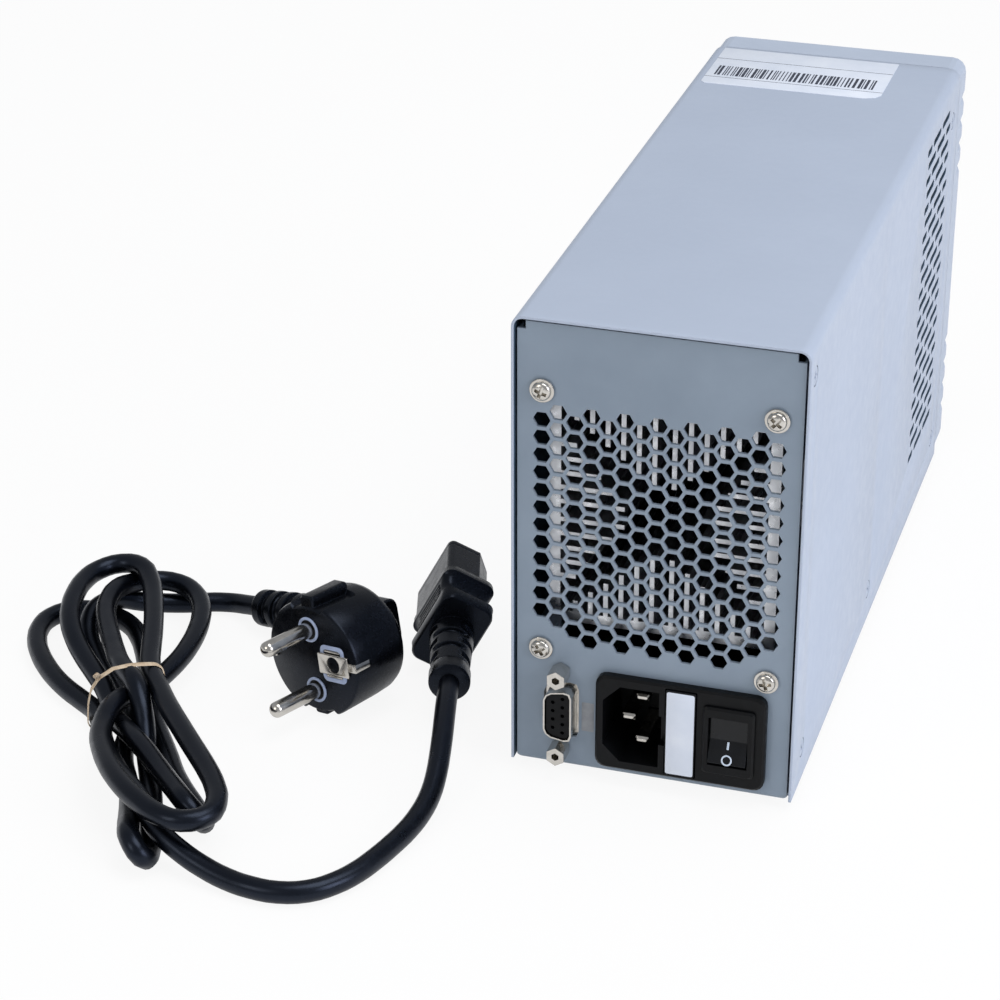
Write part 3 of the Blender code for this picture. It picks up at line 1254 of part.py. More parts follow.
def make_posts():
    bore = STUD_RADIUS + GAP
    neck_end = FASCIA_REAR - POST_NECK_REACH
    nut_front = neck_end - GAP
    nut_rear = nut_front - POST_NUT_THICK
    stud_tip = CAP_REAR + STUD_REACH
    for sign, centre in post_places():
        shade = "A8282C" if sign == "positive" else "1B1C1F"
        base = bmesh.new()
        edge = POST_BASE_RADIUS - CAP_ROUND
        profile = [(bore, at(neck_end)), (POST_NECK_RADIUS, at(neck_end)),
                   (POST_NECK_RADIUS, at(FASCIA_FRONT + GAP)), (POST_BASE_RADIUS, at(FASCIA_FRONT + GAP)),
                   (POST_BASE_RADIUS, at(POST_FACE - CAP_ROUND)), (edge, at(POST_FACE)),
                   (bore, at(POST_FACE))]
        add_turned(base, profile, "Y", centre, FINE_STEPS)
        finish("post_base_" + sign, base, paint("post_plastic_" + sign, shade, 0.35), smooth=True)
        stud = bmesh.new()
        collar = (POST_FACE + GAP, POST_FACE + GAP + STUD_COLLAR_THICK)
        profile = [(0, at(nut_rear - STUD_TAIL)), (STUD_RADIUS, at(nut_rear - STUD_TAIL)),
                   (STUD_RADIUS, at(collar[0])), (STUD_COLLAR, at(collar[0])),
                   (STUD_COLLAR, at(collar[1])),
                   (STUD_RADIUS, at(collar[1])), (STUD_RADIUS, at(stud_tip)), (0, at(stud_tip))]
        add_turned(stud, profile, "Y", centre, COARSE_STEPS)
        rod = finish("post_stud_" + sign, stud, bright_metal(), smooth=True)
        nut = bmesh.new()
        add_prism(nut, hexagon(POST_NUT_ACROSS, centre), "Y", at(nut_front), at(nut_rear))
        combine(rod, nut, "UNION", "post_nut_form")
        washer = bmesh.new()
        profile = [(bore, at(CLAMP_REAR)), (STUD_COLLAR, at(CLAMP_REAR)),
                   (STUD_COLLAR, at(CLAMP_REAR + CLAMP_THICK)), (bore, at(CLAMP_REAR + CLAMP_THICK))]
        add_turned(washer, profile, "Y", centre, COARSE_STEPS)
        clamp = finish("post_washer_" + sign, washer, bright_metal(), smooth=True)
        cap = bmesh.new()
        profile = [(bore, at(CAP_REAR)), (CAP_RADIUS - CAP_ROUND, at(CAP_REAR)),
                   (CAP_RADIUS, at(CAP_REAR + CAP_ROUND)), (CAP_RADIUS, at(CAP_FRONT - CAP_ROUND)),
                   (CAP_RADIUS - CAP_ROUND, at(CAP_FRONT)), (BANANA_RADIUS, at(CAP_FRONT)),
                   (BANANA_RADIUS, at(stud_tip + GAP)), (bore, at(stud_tip + GAP))]
        add_turned(cap, profile, "Y", centre, FINE_STEPS, CAP_FLUTES, CAP_FLUTE_DEPTH,
                   CAP_RADIUS - CAP_ROUND)
        grip = finish("post_cap_" + sign, cap, paint("post_plastic_" + sign, shade, 0.35), smooth=True)
        for piece in (clamp, grip):
            set_origin(piece, (centre[0], at(CAP_REAR), centre[1]))


def make_sense_sockets():
    face = FASCIA_FRONT + GAP + SENSE_FLANGE_THICK
    back = FASCIA_REAR - SENSE_DEPTH / 2
    floor = back + CUT
    profile = [(0, at(back)), (SENSE_BODY_RADIUS, at(back)), (SENSE_BODY_RADIUS, at(FASCIA_FRONT + GAP)),
               (SENSE_FLANGE_RADIUS, at(FASCIA_FRONT + GAP)), (SENSE_FLANGE_RADIUS, at(face)),
               (BANANA_RADIUS, at(face)), (BANANA_RADIUS, at(floor)), (0, at(floor))]
    for sign, side in (("negative", -1), ("positive", 1)):
        bm = bmesh.new()
        add_turned(bm, profile, "Y", (side * SENSE_OFFSET, POST_RISE), COARSE_STEPS)
        finish("sense_socket_" + sign, bm, black_plastic(), smooth=True)


# Power inlet, fuse drawer and switch

def socket_outline():
    """The inlet's cavity, with its two cut corners on the +X side."""
    left = INLET_X + SOCKET_X + SOCKET_WIDTH / 2
    right = left - SOCKET_WIDTH
    high = INLET_RISE + SOCKET_HEIGHT / 2
    low = high - SOCKET_HEIGHT
    return [(right, low), (left - SOCKET_CHAMFER, low), (left, low + SOCKET_CHAMFER),
            (left, high - SOCKET_CHAMFER), (left - SOCKET_CHAMFER, high), (right, high)]


def blade_places():
    flat = INLET_X + SOCKET_X - SOCKET_WIDTH / 2
    middle = flat + BLADE_FROM_FLAT
    return [(middle, INLET_RISE - BLADE_SPACING), (middle, INLET_RISE + BLADE_SPACING),
            (flat + EARTH_FROM_FLAT, INLET_RISE)]


def make_inlet():
    bm = bmesh.new()
    centre = (INLET_X, INLET_RISE)
    ease = INLET_EDGE_ROUND
    body = (INLET_WIDTH - 2 * INLET_LAND, INLET_HEIGHT - 2 * INLET_LAND)
    stations = [(body[0], body[1], INLET_BODY_DEPTH), (body[0], body[1], INLET_BACK),
                (INLET_WIDTH, INLET_HEIGHT, INLET_BACK), (INLET_WIDTH, INLET_HEIGHT, INLET_FACE + ease),
                (INLET_WIDTH - 2 * ease, INLET_HEIGHT - 2 * ease, INLET_FACE)]
    sections = []
    for wide, tall, depth in stations:
        corner = CUT if wide == body[0] else INLET_CORNER
        sections.append((rounded(wide, tall, corner, CORNER_STEPS, centre), at(depth)))
    add_loft(bm, sections)
    piece = finish("inlet_housing", bm, black_plastic())
    mouth = at(INLET_FACE) + CUT
    cavity = bmesh.new()
    add_prism(cavity, socket_outline(), "Y", at(INLET_FACE + SOCKET_DEPTH), mouth)
    combine(piece, cavity, "DIFFERENCE", "socket_cutter")
    wells = bmesh.new()
    drawer_centre = (INLET_X + DRAWER_X, INLET_RISE)
    for tall, depth in ((DRAWER_BODY_HEIGHT, DRAWER_DEPTH), (DRAWER_PLATE_HEIGHT, DRAWER_PLATE_THICK)):
        well = rounded(DRAWER_WIDTH + 2 * GAP, tall + 2 * GAP, GAP, 1, drawer_centre)
        pocket = bmesh.new()
        add_prism(pocket, well, "Y", at(INLET_FACE + depth + GAP), mouth)
        combine(piece, pocket, "DIFFERENCE", "drawer_pocket_cutter")
    switch_centre = (INLET_X + SWITCH_X, INLET_RISE)
    hole = rounded(SWITCH_BODY_WIDTH + 2 * GAP, SWITCH_BODY_HEIGHT + 2 * GAP, GAP, 1, switch_centre)
    add_prism(wells, hole, "Y", at(INLET_BODY_DEPTH) - CUT, mouth)
    for x, z in blade_places():
        outline = rounded(BLADE_WIDTH + 2 * GAP, BLADE_THICK + 2 * GAP, GAP, 1, (x, z))
        add_prism(wells, outline, "Y", at(INLET_BODY_DEPTH) - CUT, at(INLET_FACE + SOCKET_DEPTH - CUT))
    combine(piece, wells, "DIFFERENCE", "inlet_well_cutter")
    notch = bmesh.new()
    flat = INLET_X + SOCKET_X - SOCKET_WIDTH / 2
    well_edge = drawer_centre[0] + DRAWER_WIDTH / 2
    half = DRAWER_NOTCH_HEIGHT / 2
    add_box(notch, (well_edge - GAP, at(INLET_FACE + DRAWER_NOTCH_DEPTH), INLET_RISE - half),
            (flat + CUT, mouth, INLET_RISE + half))
    combine(piece, notch, "DIFFERENCE", "drawer_notch_cutter")


def make_blades():
    tip = INLET_FACE + BLADE_RECESS
    tail = INLET_BODY_DEPTH + BLADE_TAIL
    for name, centre in zip(("neutral", "line", "earth"), blade_places()):
        bm = bmesh.new()
        stations = [(BLADE_TIP, tip), (0, tip + BLADE_TIP), (0, tail)]
        sections = []
        for inset, depth in stations:
            outline = rounded(BLADE_WIDTH - 2 * inset, BLADE_THICK - 2 * inset, GAP, 1, centre)
            sections.append((outline, at(depth)))
        add_loft(bm, sections)
        finish("inlet_pin_" + name, bm, bright_metal())


def make_drawer():
    bm = bmesh.new()
    centre = (INLET_X + DRAWER_X, INLET_RISE)
    front = INLET_FACE - DRAWER_PROUD
    back = INLET_FACE + DRAWER_DEPTH
    shoulder = INLET_FACE + DRAWER_PLATE_THICK
    body = (DRAWER_WIDTH - 2 * GAP, DRAWER_BODY_HEIGHT)
    plate = (DRAWER_WIDTH, DRAWER_PLATE_HEIGHT)
    stations = [(body, back), (body, shoulder), (plate, shoulder), (plate, front)]
    add_loft(bm, [(rounded(wide, tall, GAP, 1, centre), at(depth)) for (wide, tall), depth in stations])
    piece = finish("fuse_drawer", bm, black_plastic())
    trough = bmesh.new()
    fuse_y = at(INLET_FACE + FUSE_DEPTH)
    reach = FUSE_RADIUS + GAP
    half = FUSE_LENGTH / 2 + GAP
    add_box(trough, (centre[0] - reach, fuse_y - reach, INLET_RISE - half),
            (centre[0] + DRAWER_WIDTH, fuse_y + reach, INLET_RISE + half))
    helper = combine(piece, trough, "DIFFERENCE", "fuse_trough_cutter")
    pivot = (centre[0], at(INLET_FACE), INLET_RISE)
    set_origin(piece, pivot)
    helper.parent = piece
    helper.matrix_parent_inverse = Matrix.Translation(-Vector(pivot))
    fuse = bmesh.new()
    low, high = INLET_RISE - FUSE_LENGTH / 2, INLET_RISE + FUSE_LENGTH / 2
    glass = FUSE_GLASS_RADIUS
    profile = [(0, low), (FUSE_RADIUS, low), (FUSE_RADIUS, low + FUSE_CAP), (glass, low + FUSE_CAP),
               (glass, high - FUSE_CAP), (FUSE_RADIUS, high - FUSE_CAP), (FUSE_RADIUS, high), (0, high)]
    add_turned(fuse, profile, "Z", (centre[0], fuse_y), COARSE_STEPS)
    cartridge = finish("fuse_cartridge", fuse, paint("fuse_glass", "C8CDD0", 0.1), smooth=True)
    set_origin(cartridge, (centre[0], fuse_y, INLET_RISE))


def rocker_pivot():
    return (INLET_X + SWITCH_X, at(ROCKER_PIVOT), INLET_RISE)


def make_switch():
    bm = bmesh.new()
    centre = (INLET_X + SWITCH_X, INLET_RISE)
    ease = INLET_EDGE_ROUND
    stations = [(SWITCH_BODY_WIDTH, SWITCH_BODY_HEIGHT, INLET_FACE + SWITCH_BODY_DEPTH),
                (SWITCH_BODY_WIDTH, SWITCH_BODY_HEIGHT, INLET_FACE - GAP),
                (SWITCH_WIDTH, SWITCH_HEIGHT, INLET_FACE - GAP),
                (SWITCH_WIDTH, SWITCH_HEIGHT, SWITCH_FACE + ease),
                (SWITCH_WIDTH - 2 * ease, SWITCH_HEIGHT - 2 * ease, SWITCH_FACE)]
    add_loft(bm, [(rounded(wide, tall, CUT, 2, centre), at(depth)) for wide, tall, depth in stations])
    piece = finish("switch_housing", bm, black_plastic())
    well = bmesh.new()
    half_wide = ROCKER_WIDTH / 2 + GAP
    half_tall = ROCKER_RADIUS + GAP
    add_box(well, (centre[0] - half_wide, at(SWITCH_FACE + ROCKER_WELL), centre[1] - half_tall),
            (centre[0] + half_wide, at(SWITCH_FACE) + CUT, centre[1] + half_tall))
    combine(piece, well, "DIFFERENCE", "rocker_well_cutter")
    sockets = bmesh.new()
    radius = PIVOT_RADIUS + GAP
    reach = half_wide + PIVOT_REACH
    add_rod(sockets, radius, "X", (at(ROCKER_PIVOT), centre[1]), centre[0] - reach, centre[0] + reach)
    combine(piece, sockets, "DIFFERENCE", "pivot_socket_cutter")


def rocker_outline():
    """Side view about the pivot: (outward, up), with ends that are arcs about the pivot.

    The two faces fall towards the middle. The whole is tilted so that the top is pressed in.
    """
    points = [(ROCKER_MIDDLE, 0.0)]
    start = math.acos(ROCKER_EDGE / ROCKER_RADIUS)
    stop = math.pi - math.acos(ROCKER_HEEL / ROCKER_RADIUS)
    steps = 4
    arc = []
    for i in range(steps + 1):
        turn = start + (stop - start) * i / steps
        arc.append((ROCKER_RADIUS * math.cos(turn), ROCKER_RADIUS * math.sin(turn)))
    points += [(out, -up) for out, up in arc]
    points += arc[::-1]
    tilted = []
    for out, up in points:
        tilted.append((out * math.cos(ROCKER_TILT) - up * math.sin(ROCKER_TILT),
                       out * math.sin(ROCKER_TILT) + up * math.cos(ROCKER_TILT)))
    return tilted


def make_rocker():
    bm = bmesh.new()
    x, y, z = rocker_pivot()
    outline = [(y + out, z + up) for out, up in rocker_outline()]
    add_prism(bm, outline, "X", x - ROCKER_WIDTH / 2, x + ROCKER_WIDTH / 2)
    piece = finish("rocker", bm, paint("rocker_plastic", "2A2B30", 0.4))
    pins = bmesh.new()
    reach = ROCKER_WIDTH / 2 + PIVOT_REACH
    add_rod(pins, PIVOT_RADIUS, "X", (y, z), x - reach, x + reach)
    helper = combine(piece, pins, "UNION", "pivot_pin_form")
    set_origin(piece, (x, y, z))
    helper.parent = piece
    helper.matrix_parent_inverse = Matrix.Translation(-Vector((x, y, z)))


# Serial connector

def make_serial():
    flange_front = PANEL_BACK + GAP
    flange_back = flange_front + SHELL_FLANGE_THICK
    tip = flange_front - SHELL_REACH
    bm = bmesh.new()
    plate = rounded(SHELL_FLANGE_SHORT, SHELL_FLANGE_LONG, CUT, 1, (SERIAL_X, SERIAL_RISE))
    add_prism(bm, plate, "Y", at(flange_back), at(flange_front))
    piece = finish("serial_shell", bm, bright_metal())
    skirt = bmesh.new()
    add_prism(skirt, shell_outline(), "Y", at(flange_back), at(tip))
    combine(piece, skirt, "UNION", "shell_form")
    holes = bmesh.new()
    add_prism(holes, shell_outline(-SHELL_WALL), "Y", at(flange_back) - CUT, at(tip) + CUT)
    for centre in jack_places():
        radius = JACK_SHANK + GAP
        low, high = at(flange_back) - CUT, at(flange_front) + CUT
        add_turned(holes, [(0, low), (radius, low), (radius, high), (0, high)], "Y", centre, COARSE_STEPS)
    combine(piece, holes, "DIFFERENCE", "shell_hole_cutter")

    bm = bmesh.new()
    face = tip + SERIAL_FACE_SINK
    add_prism(bm, shell_outline(-SHELL_WALL - GAP), "Y", at(flange_back + CUT), at(face))
    piece = finish("serial_insulator", bm, black_plastic())
    body = bmesh.new()
    back = flange_back + GAP + SERIAL_BODY_DEPTH
    block = rounded(SHELL_FLANGE_SHORT - 2 * CUT, SHELL_LONG + 2 * CUT, CUT, 1, (SERIAL_X, SERIAL_RISE))
    add_prism(body, block, "Y", at(back), at(flange_back + GAP))
    combine(piece, body, "UNION", "insulator_body_form")
    pins = bmesh.new()
    for row, count in ((-1, 5), (1, 4)):
        for i in range(count):
            z = SERIAL_RISE + (i - (count - 1) / 2) * PIN_PITCH
            outline = hexagon(2 * PIN_HOLE, (SERIAL_X + row * PIN_ROW / 2, z))
            add_prism(pins, outline, "Y", at(face + PIN_HOLE_DEPTH), at(face) + CUT)
    combine(piece, pins, "DIFFERENCE", "pin_hole_cutter")

    stand = PANEL_FACE - GAP
    end = flange_back + JACK_TAIL
    reach = JACK_ACROSS / math.sqrt(3)
    profile = [(0, at(end)), (JACK_SHANK, at(end)), (JACK_SHANK, at(stand)), (reach, at(stand)),
               (reach, at(stand - JACK_STAND)), (JACK_BORE, at(stand - JACK_STAND)),
               (JACK_BORE, at(stand)), (0, at(stand))]
    for name, centre in zip(("lower", "upper"), jack_places()):
        bm = bmesh.new()
        add_turned(bm, profile, "Y", centre, 6)
        finish("jackscrew_" + name, bm, bright_metal())


# Mains lead

def spot(point):
    """World place of a point given in mm behind the cover's rear edge."""
    return Vector((point[0] * MM, COVER_REAR + point[1] * MM, point[2] * MM))


def frame_at(origin, forward, side):
    """A frame whose third axis runs forward, whose first is near side and whose place is origin."""
    third = forward.normalized()
    first = (side - third * side.dot(third)).normalized()
    second = third.cross(first)
    made = Matrix((first, second, third)).transposed().to_4x4()
    made.translation = origin
    return made


def framed(bm, frame):
    """Moves a shape made about the Z axis into a frame."""
    bmesh.ops.transform(bm, matrix=frame, verts=bm.verts)
    return bm


def smooth_route(points):
    """A curve through the points, read at even steps so that its bends stay round."""
    places = [spot(point) for point in points]
    places = [places[0] * 2 - places[1]] + places + [places[-1] * 2 - places[-2]]
    fine = []
    for before, start, end, after in zip(places, places[1:], places[2:], places[3:]):
        for i in range(8):
            t = i / 8
            fine.append(0.5 * (2 * start + (end - before) * t
                               + (2 * before - 5 * start + 4 * end - after) * t ** 2
                               + (3 * start - before - 3 * end + after) * t ** 3))
    fine.append(places[-2])
    route, run = [fine[0]], 0.0
    length = sum((b - a).length for a, b in zip(fine, fine[1:]))
    step = length / max(1, round(length / CORD_STEP))
    for a, b in zip(fine, fine[1:]):
        run += (b - a).length
        if run >= step * len(route) - CORD_RADIUS / 100:
            route.append(b)
    if (route[-1] - fine[-1]).length > step / 2:
        route.append(fine[-1])
    route[-1] = fine[-1]
    return route


def make_lead(name, route):
    curve = bpy.data.curves.new(name, "CURVE")
    curve.dimensions = "3D"
    curve.bevel_depth = CORD_RADIUS
    curve.bevel_resolution = 2
    curve.use_fill_caps = True
    spline = curve.splines.new("POLY")
    spline.points.add(len(route) - 1)
    for point, place_of in zip(spline.points, route):
        point.co = (*place_of, 1.0)
    lead = bpy.data.objects.new(name, curve)
    bpy.context.scene.collection.objects.link(lead)
    curve.materials.append(black_rubber())


def boot_profile(start, length, root, tip):
    """A tapering strain relief with grooves round it, as (radius, along) points from root to tip."""
    points = []
    pitch = length / (2 * BOOT_GROOVES + 1)
    for i in range(2 * BOOT_GROOVES + 1):
        cut = BOOT_GROOVE_DEPTH if i % 2 else 0.0
        for along in (i * pitch, (i + 1) * pitch):
            radius = root + (tip - root) * along / length - cut
            points.append((radius, start + along))
    return points


def make_connector():
    """Connector on the instrument's end of the lead, lying on one corner of its flanges."""
    forward = Vector((math.cos(CONNECTOR_HEADING), math.sin(CONNECTOR_HEADING), 0))
    level = forward.cross(Vector((0, 0, 1)))
    wide = level * -math.sin(CONNECTOR_ROLL) - Vector((0, 0, math.cos(CONNECTOR_ROLL)))
    tail = spot(CONNECTOR_END) + forward * GAP
    frame = frame_at(tail, forward, wide)
    rear_flange = BOOT_LENGTH + REAR_FLANGE_LENGTH
    front_flange = rear_flange + WAIST_LENGTH
    nose = front_flange + FRONT_FLANGE_LENGTH
    stations = [(FLANGE_SIZE, FLANGE_CORNER, BOOT_LENGTH), (FLANGE_SIZE, FLANGE_CORNER, rear_flange),
                (WAIST_SIZE, FLANGE_CORNER, rear_flange), (WAIST_SIZE, FLANGE_CORNER, front_flange),
                (FLANGE_SIZE, FLANGE_CORNER, front_flange), (FLANGE_SIZE, FLANGE_CORNER, nose),
                (NOSE_SIZE, NOSE_CORNER, nose), (NOSE_SIZE, NOSE_CORNER, nose + NOSE_LENGTH)]
    bm = bmesh.new()
    add_loft(bm, [(rounded(size[0], size[1], corner, 2), along) for size, corner, along in stations], "Z")
    piece = finish("connector_body", framed(bm, frame), black_rubber())
    boot = bmesh.new()
    half = WAIST_SIZE[1] / 2
    taper = boot_profile(COLLAR_LENGTH, BOOT_LENGTH + CUT - COLLAR_LENGTH, BOOT_TIP, half)
    profile = [(0, 0), (COLLAR_RADIUS, 0), (COLLAR_RADIUS, COLLAR_LENGTH)]
    profile += taper + [(0, BOOT_LENGTH + CUT)]
    add_turned(boot, profile, "Z", (0, 0), COARSE_STEPS)
    combine(piece, framed(boot, frame), "UNION", "connector_boot_form")
    cuts = bmesh.new()
    end = nose + NOSE_LENGTH + CUT
    floor = end - CUT - CONTACT_SLOT_DEPTH
    for across, up in ((-BLADE_SPACING, 0), (BLADE_SPACING, 0), (0, BLADE_FROM_FLAT - EARTH_FROM_FLAT)):
        outline = rounded(CONTACT_SLOT[0], CONTACT_SLOT[1], GAP, 1, (across, up))
        add_prism(cuts, outline, "Z", floor, end)
    for side in (-1, 1):
        edge, face = side * NOSE_SIZE[0] / 2, -NOSE_SIZE[1] / 2
        beyond = side * (NOSE_SIZE[0] / 2 + CUT)
        corner = [(edge - side * SOCKET_CHAMFER, face), (beyond, face + SOCKET_CHAMFER + CUT),
                  (beyond, face - CUT), (edge - side * SOCKET_CHAMFER, face - CUT)]
        add_prism(cuts, corner, "Z", nose + GAP, end)
    combine(piece, framed(cuts, frame), "DIFFERENCE", "contact_slot_cutter")


def closed_spline(points, steps):
    """A smooth closed outline through (x, y) points in mm."""
    count = len(points)
    spots = [Vector(point) for point in points]
    made = []
    for i in range(count):
        before, start, end, after = (spots[(i + k - 1) % count] for k in range(4))
        for j in range(steps):
            t = j / steps
            made.append(0.5 * (2 * start + (end - before) * t
                               + (2 * before - 5 * start + 4 * end - after) * t ** 2
                               + (3 * start - before - 3 * end + after) * t ** 3))
    return [(p.x * MM, COVER_REAR + p.y * MM) for p in made]


def shrunk(outline, inset):
    """The outline moved inwards by a small amount along its corners' bisectors."""
    moved = []
    count = len(outline)
    for i in range(count):
        before, after = Vector(outline[i - 1]), Vector(outline[(i + 1) % count])
        run = (after - before).normalized()
        moved.append((outline[i][0] - run.y * inset, outline[i][1] + run.x * inset))
    return moved


def tie_frame():
    """At the hank's waist: first axis across the strands, second axis up, third along them."""
    across = Vector((math.cos(TIE_HEADING), math.sin(TIE_HEADING), 0))
    middle = spot((TIE_MIDDLE[0], TIE_MIDDLE[1], 0))
    middle.z = (HANK_LOW + HANK_HIGH) / 2
    return frame_at(middle, across.cross(Vector((0, 0, 1))), across)


def tie_ring(inside, outside, width):
    """A band round the waist between two distances out from the groove's floor."""
    rise = (HANK_HIGH - HANK_LOW) / 2 - TIE_THICK - GAP
    inner, outer = [rounded(2 * (TIE_HALF_SPAN + out), 2 * (rise + out), TIE_CORNER + out, 2)
                    for out in (inside, outside)]
    bm = bmesh.new()
    sections = [(outer, -width / 2), (outer, width / 2), (inner, width / 2), (inner, -width / 2)]
    add_loft(bm, sections, "Z", closed=True)
    return framed(bm, tie_frame())


def make_hank():
    """The folded middle of the lead, with a groove round its waist for the tie."""
    bm = bmesh.new()
    outline = closed_spline(HANK_OUTLINE, 2)
    if sum(a[0] * b[1] - b[0] * a[1] for a, b in zip(outline, outline[1:] + outline[:1])) < 0:
        outline = outline[::-1]
    inner = shrunk(outline, HANK_ROUND)
    add_loft(bm, [(inner, HANK_LOW), (outline, HANK_LOW + HANK_ROUND), (outline, HANK_HIGH - HANK_ROUND),
                  (inner, HANK_HIGH)], "Z")
    piece = finish("cord_hank", bm, black_rubber())
    combine(piece, tie_ring(0, TIE_GROOVE_REACH, TIE_WIDTH + 2 * GAP), "DIFFERENCE", "tie_groove_cutter")
    finish("cord_tie", tie_ring(GAP, GAP + TIE_THICK, TIE_WIDTH), black_plastic())


def plug_frame():
    """On the plug's face: first axis towards the cord's exit, third out along the pins."""
    level = Vector((math.cos(PLUG_HEADING), math.sin(PLUG_HEADING), 0))
    forward = level * math.cos(PLUG_TILT) + Vector((0, 0, math.sin(PLUG_TILT)))
    dip = Vector((0, 0, -math.sin(PLUG_EXIT_DIP)))
    away = level.cross(Vector((0, 0, 1))) * math.cos(PLUG_EXIT_DIP) + dip
    return frame_at(spot(PLUG_FACE), forward, away)


def oval(wide, tall, steps):
    turns = [math.tau * i / steps for i in range(steps)]
    return [(wide * math.cos(t), tall * math.sin(t)) for t in turns]


def make_plug():
    frame = plug_frame()
    bm = bmesh.new()
    ease = CUT
    half_way = [(PLUG_BACK_RADIUS + reach) / 2 for reach in PLUG_BACK]
    sections = [(oval(PLUG_RADIUS - ease, PLUG_RADIUS - ease, FINE_STEPS), 0),
                (oval(PLUG_RADIUS, PLUG_RADIUS, FINE_STEPS), -ease),
                (oval(PLUG_BACK_RADIUS, PLUG_BACK_RADIUS, FINE_STEPS), -PLUG_ROUND_DEPTH),
                (oval(half_way[1], half_way[0], FINE_STEPS), -(PLUG_ROUND_DEPTH + PLUG_DEPTH) / 2),
                (oval(PLUG_BACK[1], PLUG_BACK[0], FINE_STEPS), -PLUG_DEPTH)]
    add_loft(bm, sections, "Z")
    piece = finish("plug_body", framed(bm, frame), black_rubber(), smooth=True)
    boot = bmesh.new()
    run = PLUG_BOOT_LENGTH - PLUG_BOOT_START
    profile = [(0, PLUG_BOOT_START)] + boot_profile(PLUG_BOOT_START, run, PLUG_BOOT_ROOT, PLUG_BOOT_TIP)
    profile.append((0, PLUG_BOOT_LENGTH))
    add_turned(boot, profile, "X", (0, -PLUG_EXIT_DEPTH), COARSE_STEPS)
    combine(piece, framed(boot, frame), "UNION", "plug_boot_form")
    cuts = bmesh.new()
    for side in (-1, 1):
        place_of = (0, side * PLUG_PIN_SPACING / 2)
        add_rod(cuts, PLUG_PIN_RADIUS + GAP, "Z", place_of, -PLUG_PIN_ROOT - GAP, CUT)
        notch = rounded(NOTCH_SIZE[0], 2 * NOTCH_SIZE[1], CUT, 1, (0, side * PLUG_RADIUS))
        add_prism(cuts, notch, "Z", -NOTCH_DEPTH, CUT)
    pocket = rounded(EARTH_SIZE[0] + 2 * GAP, EARTH_SIZE[1] + 2 * GAP, GAP, 1, (-EARTH_OFFSET, 0))
    add_prism(cuts, pocket, "Z", -EARTH_DEPTH - GAP, CUT)
    combine(piece, framed(cuts, frame), "DIFFERENCE", "plug_cutter")
    for number, side in enumerate((-1, 1), 1):
        pin = bmesh.new()
        tip = PLUG_PIN_LENGTH
        wide = PLUG_PIN_RADIUS
        profile = [(0, -PLUG_PIN_ROOT), (wide, -PLUG_PIN_ROOT), (wide, tip - wide / 2),
                   (wide / 2, tip - wide / 8), (0, tip)]
        add_turned(pin, profile, "Z", (0, side * PLUG_PIN_SPACING / 2), COARSE_STEPS)
        finish("plug_pin_%d" % number, framed(pin, frame), bright_metal(), smooth=True)
    contact = bmesh.new()
    outer = rounded(EARTH_SIZE[0], EARTH_SIZE[1], GAP, 1, (-EARTH_OFFSET, 0))
    inner = rounded(EARTH_SIZE[0] - 2 * EARTH_THICK, EARTH_SIZE[1] - 2 * EARTH_THICK,
                    GAP, 1, (-EARTH_OFFSET, 0))
    sections = [(outer, -EARTH_DEPTH), (outer, 0), (inner, 0), (inner, -EARTH_DEPTH)]
    add_loft(contact, sections, "Z", closed=True)
    finish("plug_earth_contact", framed(contact, frame), bright_metal())


def make_leads():
    make_lead("lead_to_connector", smooth_route(CONNECTOR_ROUTE))
    frame = plug_frame()
    exit_axis = frame.to_3x3() @ Vector((1, 0, 0))
    boot_end = frame @ Vector((PLUG_BOOT_LENGTH + GAP, 0, -PLUG_EXIT_DEPTH))
    last = spot(LEAD_TO_PLUG_END)
    reach = (last - boot_end).length / 3
    straight = boot_end + exit_axis * CUT
    handles = [straight, straight + exit_axis * reach, last - Vector((reach, 0, 0)), last]
    route = [boot_end]
    for i in range(5):
        t = i / 4
        weights = ((1 - t) ** 3, 3 * t * (1 - t) ** 2, 3 * t ** 2 * (1 - t), t ** 3)
        route.append(sum((h * w for h, w in zip(handles, weights)), Vector()))
    make_lead("lead_to_plug", route)


def build():
    for old in list(bpy.data.objects):
        bpy.data.objects.remove(old, do_unlink=True)
    make_cover()
    make_chassis()
    make_panel_screws()
    make_heatsink("heatsink_left", 1)
    make_heatsink("heatsink_right", -1)
    make_fan_frame()
    make_fan_rotor()
    make_main_board()
    make_transformer()
    make_capacitor()
    make_bezel()
    make_front_panel()
    make_display()
    make_control_board()
    make_keys()
    make_encoder()
    make_knob()
    make_posts()
    make_sense_sockets()
    make_inlet()
    make_blades()
    make_drawer()
    make_switch()
    make_rocker()
    make_serial()
    make_connector()
    make_plug()
    make_hank()
    make_leads()


build()
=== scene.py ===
# %% [markdown]
# This notebook dresses a bench instrument, a DC electronic load, and the mains lead that lies beside it.
# The solids come from a CAD frame in which every part already has its place, so nothing has to be fitted
# by eye. All lengths are in metres. Real sizes are written in millimetres and multiplied by MM.

# %% Bring in the frame
import random
from math import copysign, cos, dist, pi, radians, sin, sqrt, tau

import bmesh
import bpy
from mathutils import Matrix, Vector
from mathutils.bvhtree import BVHTree


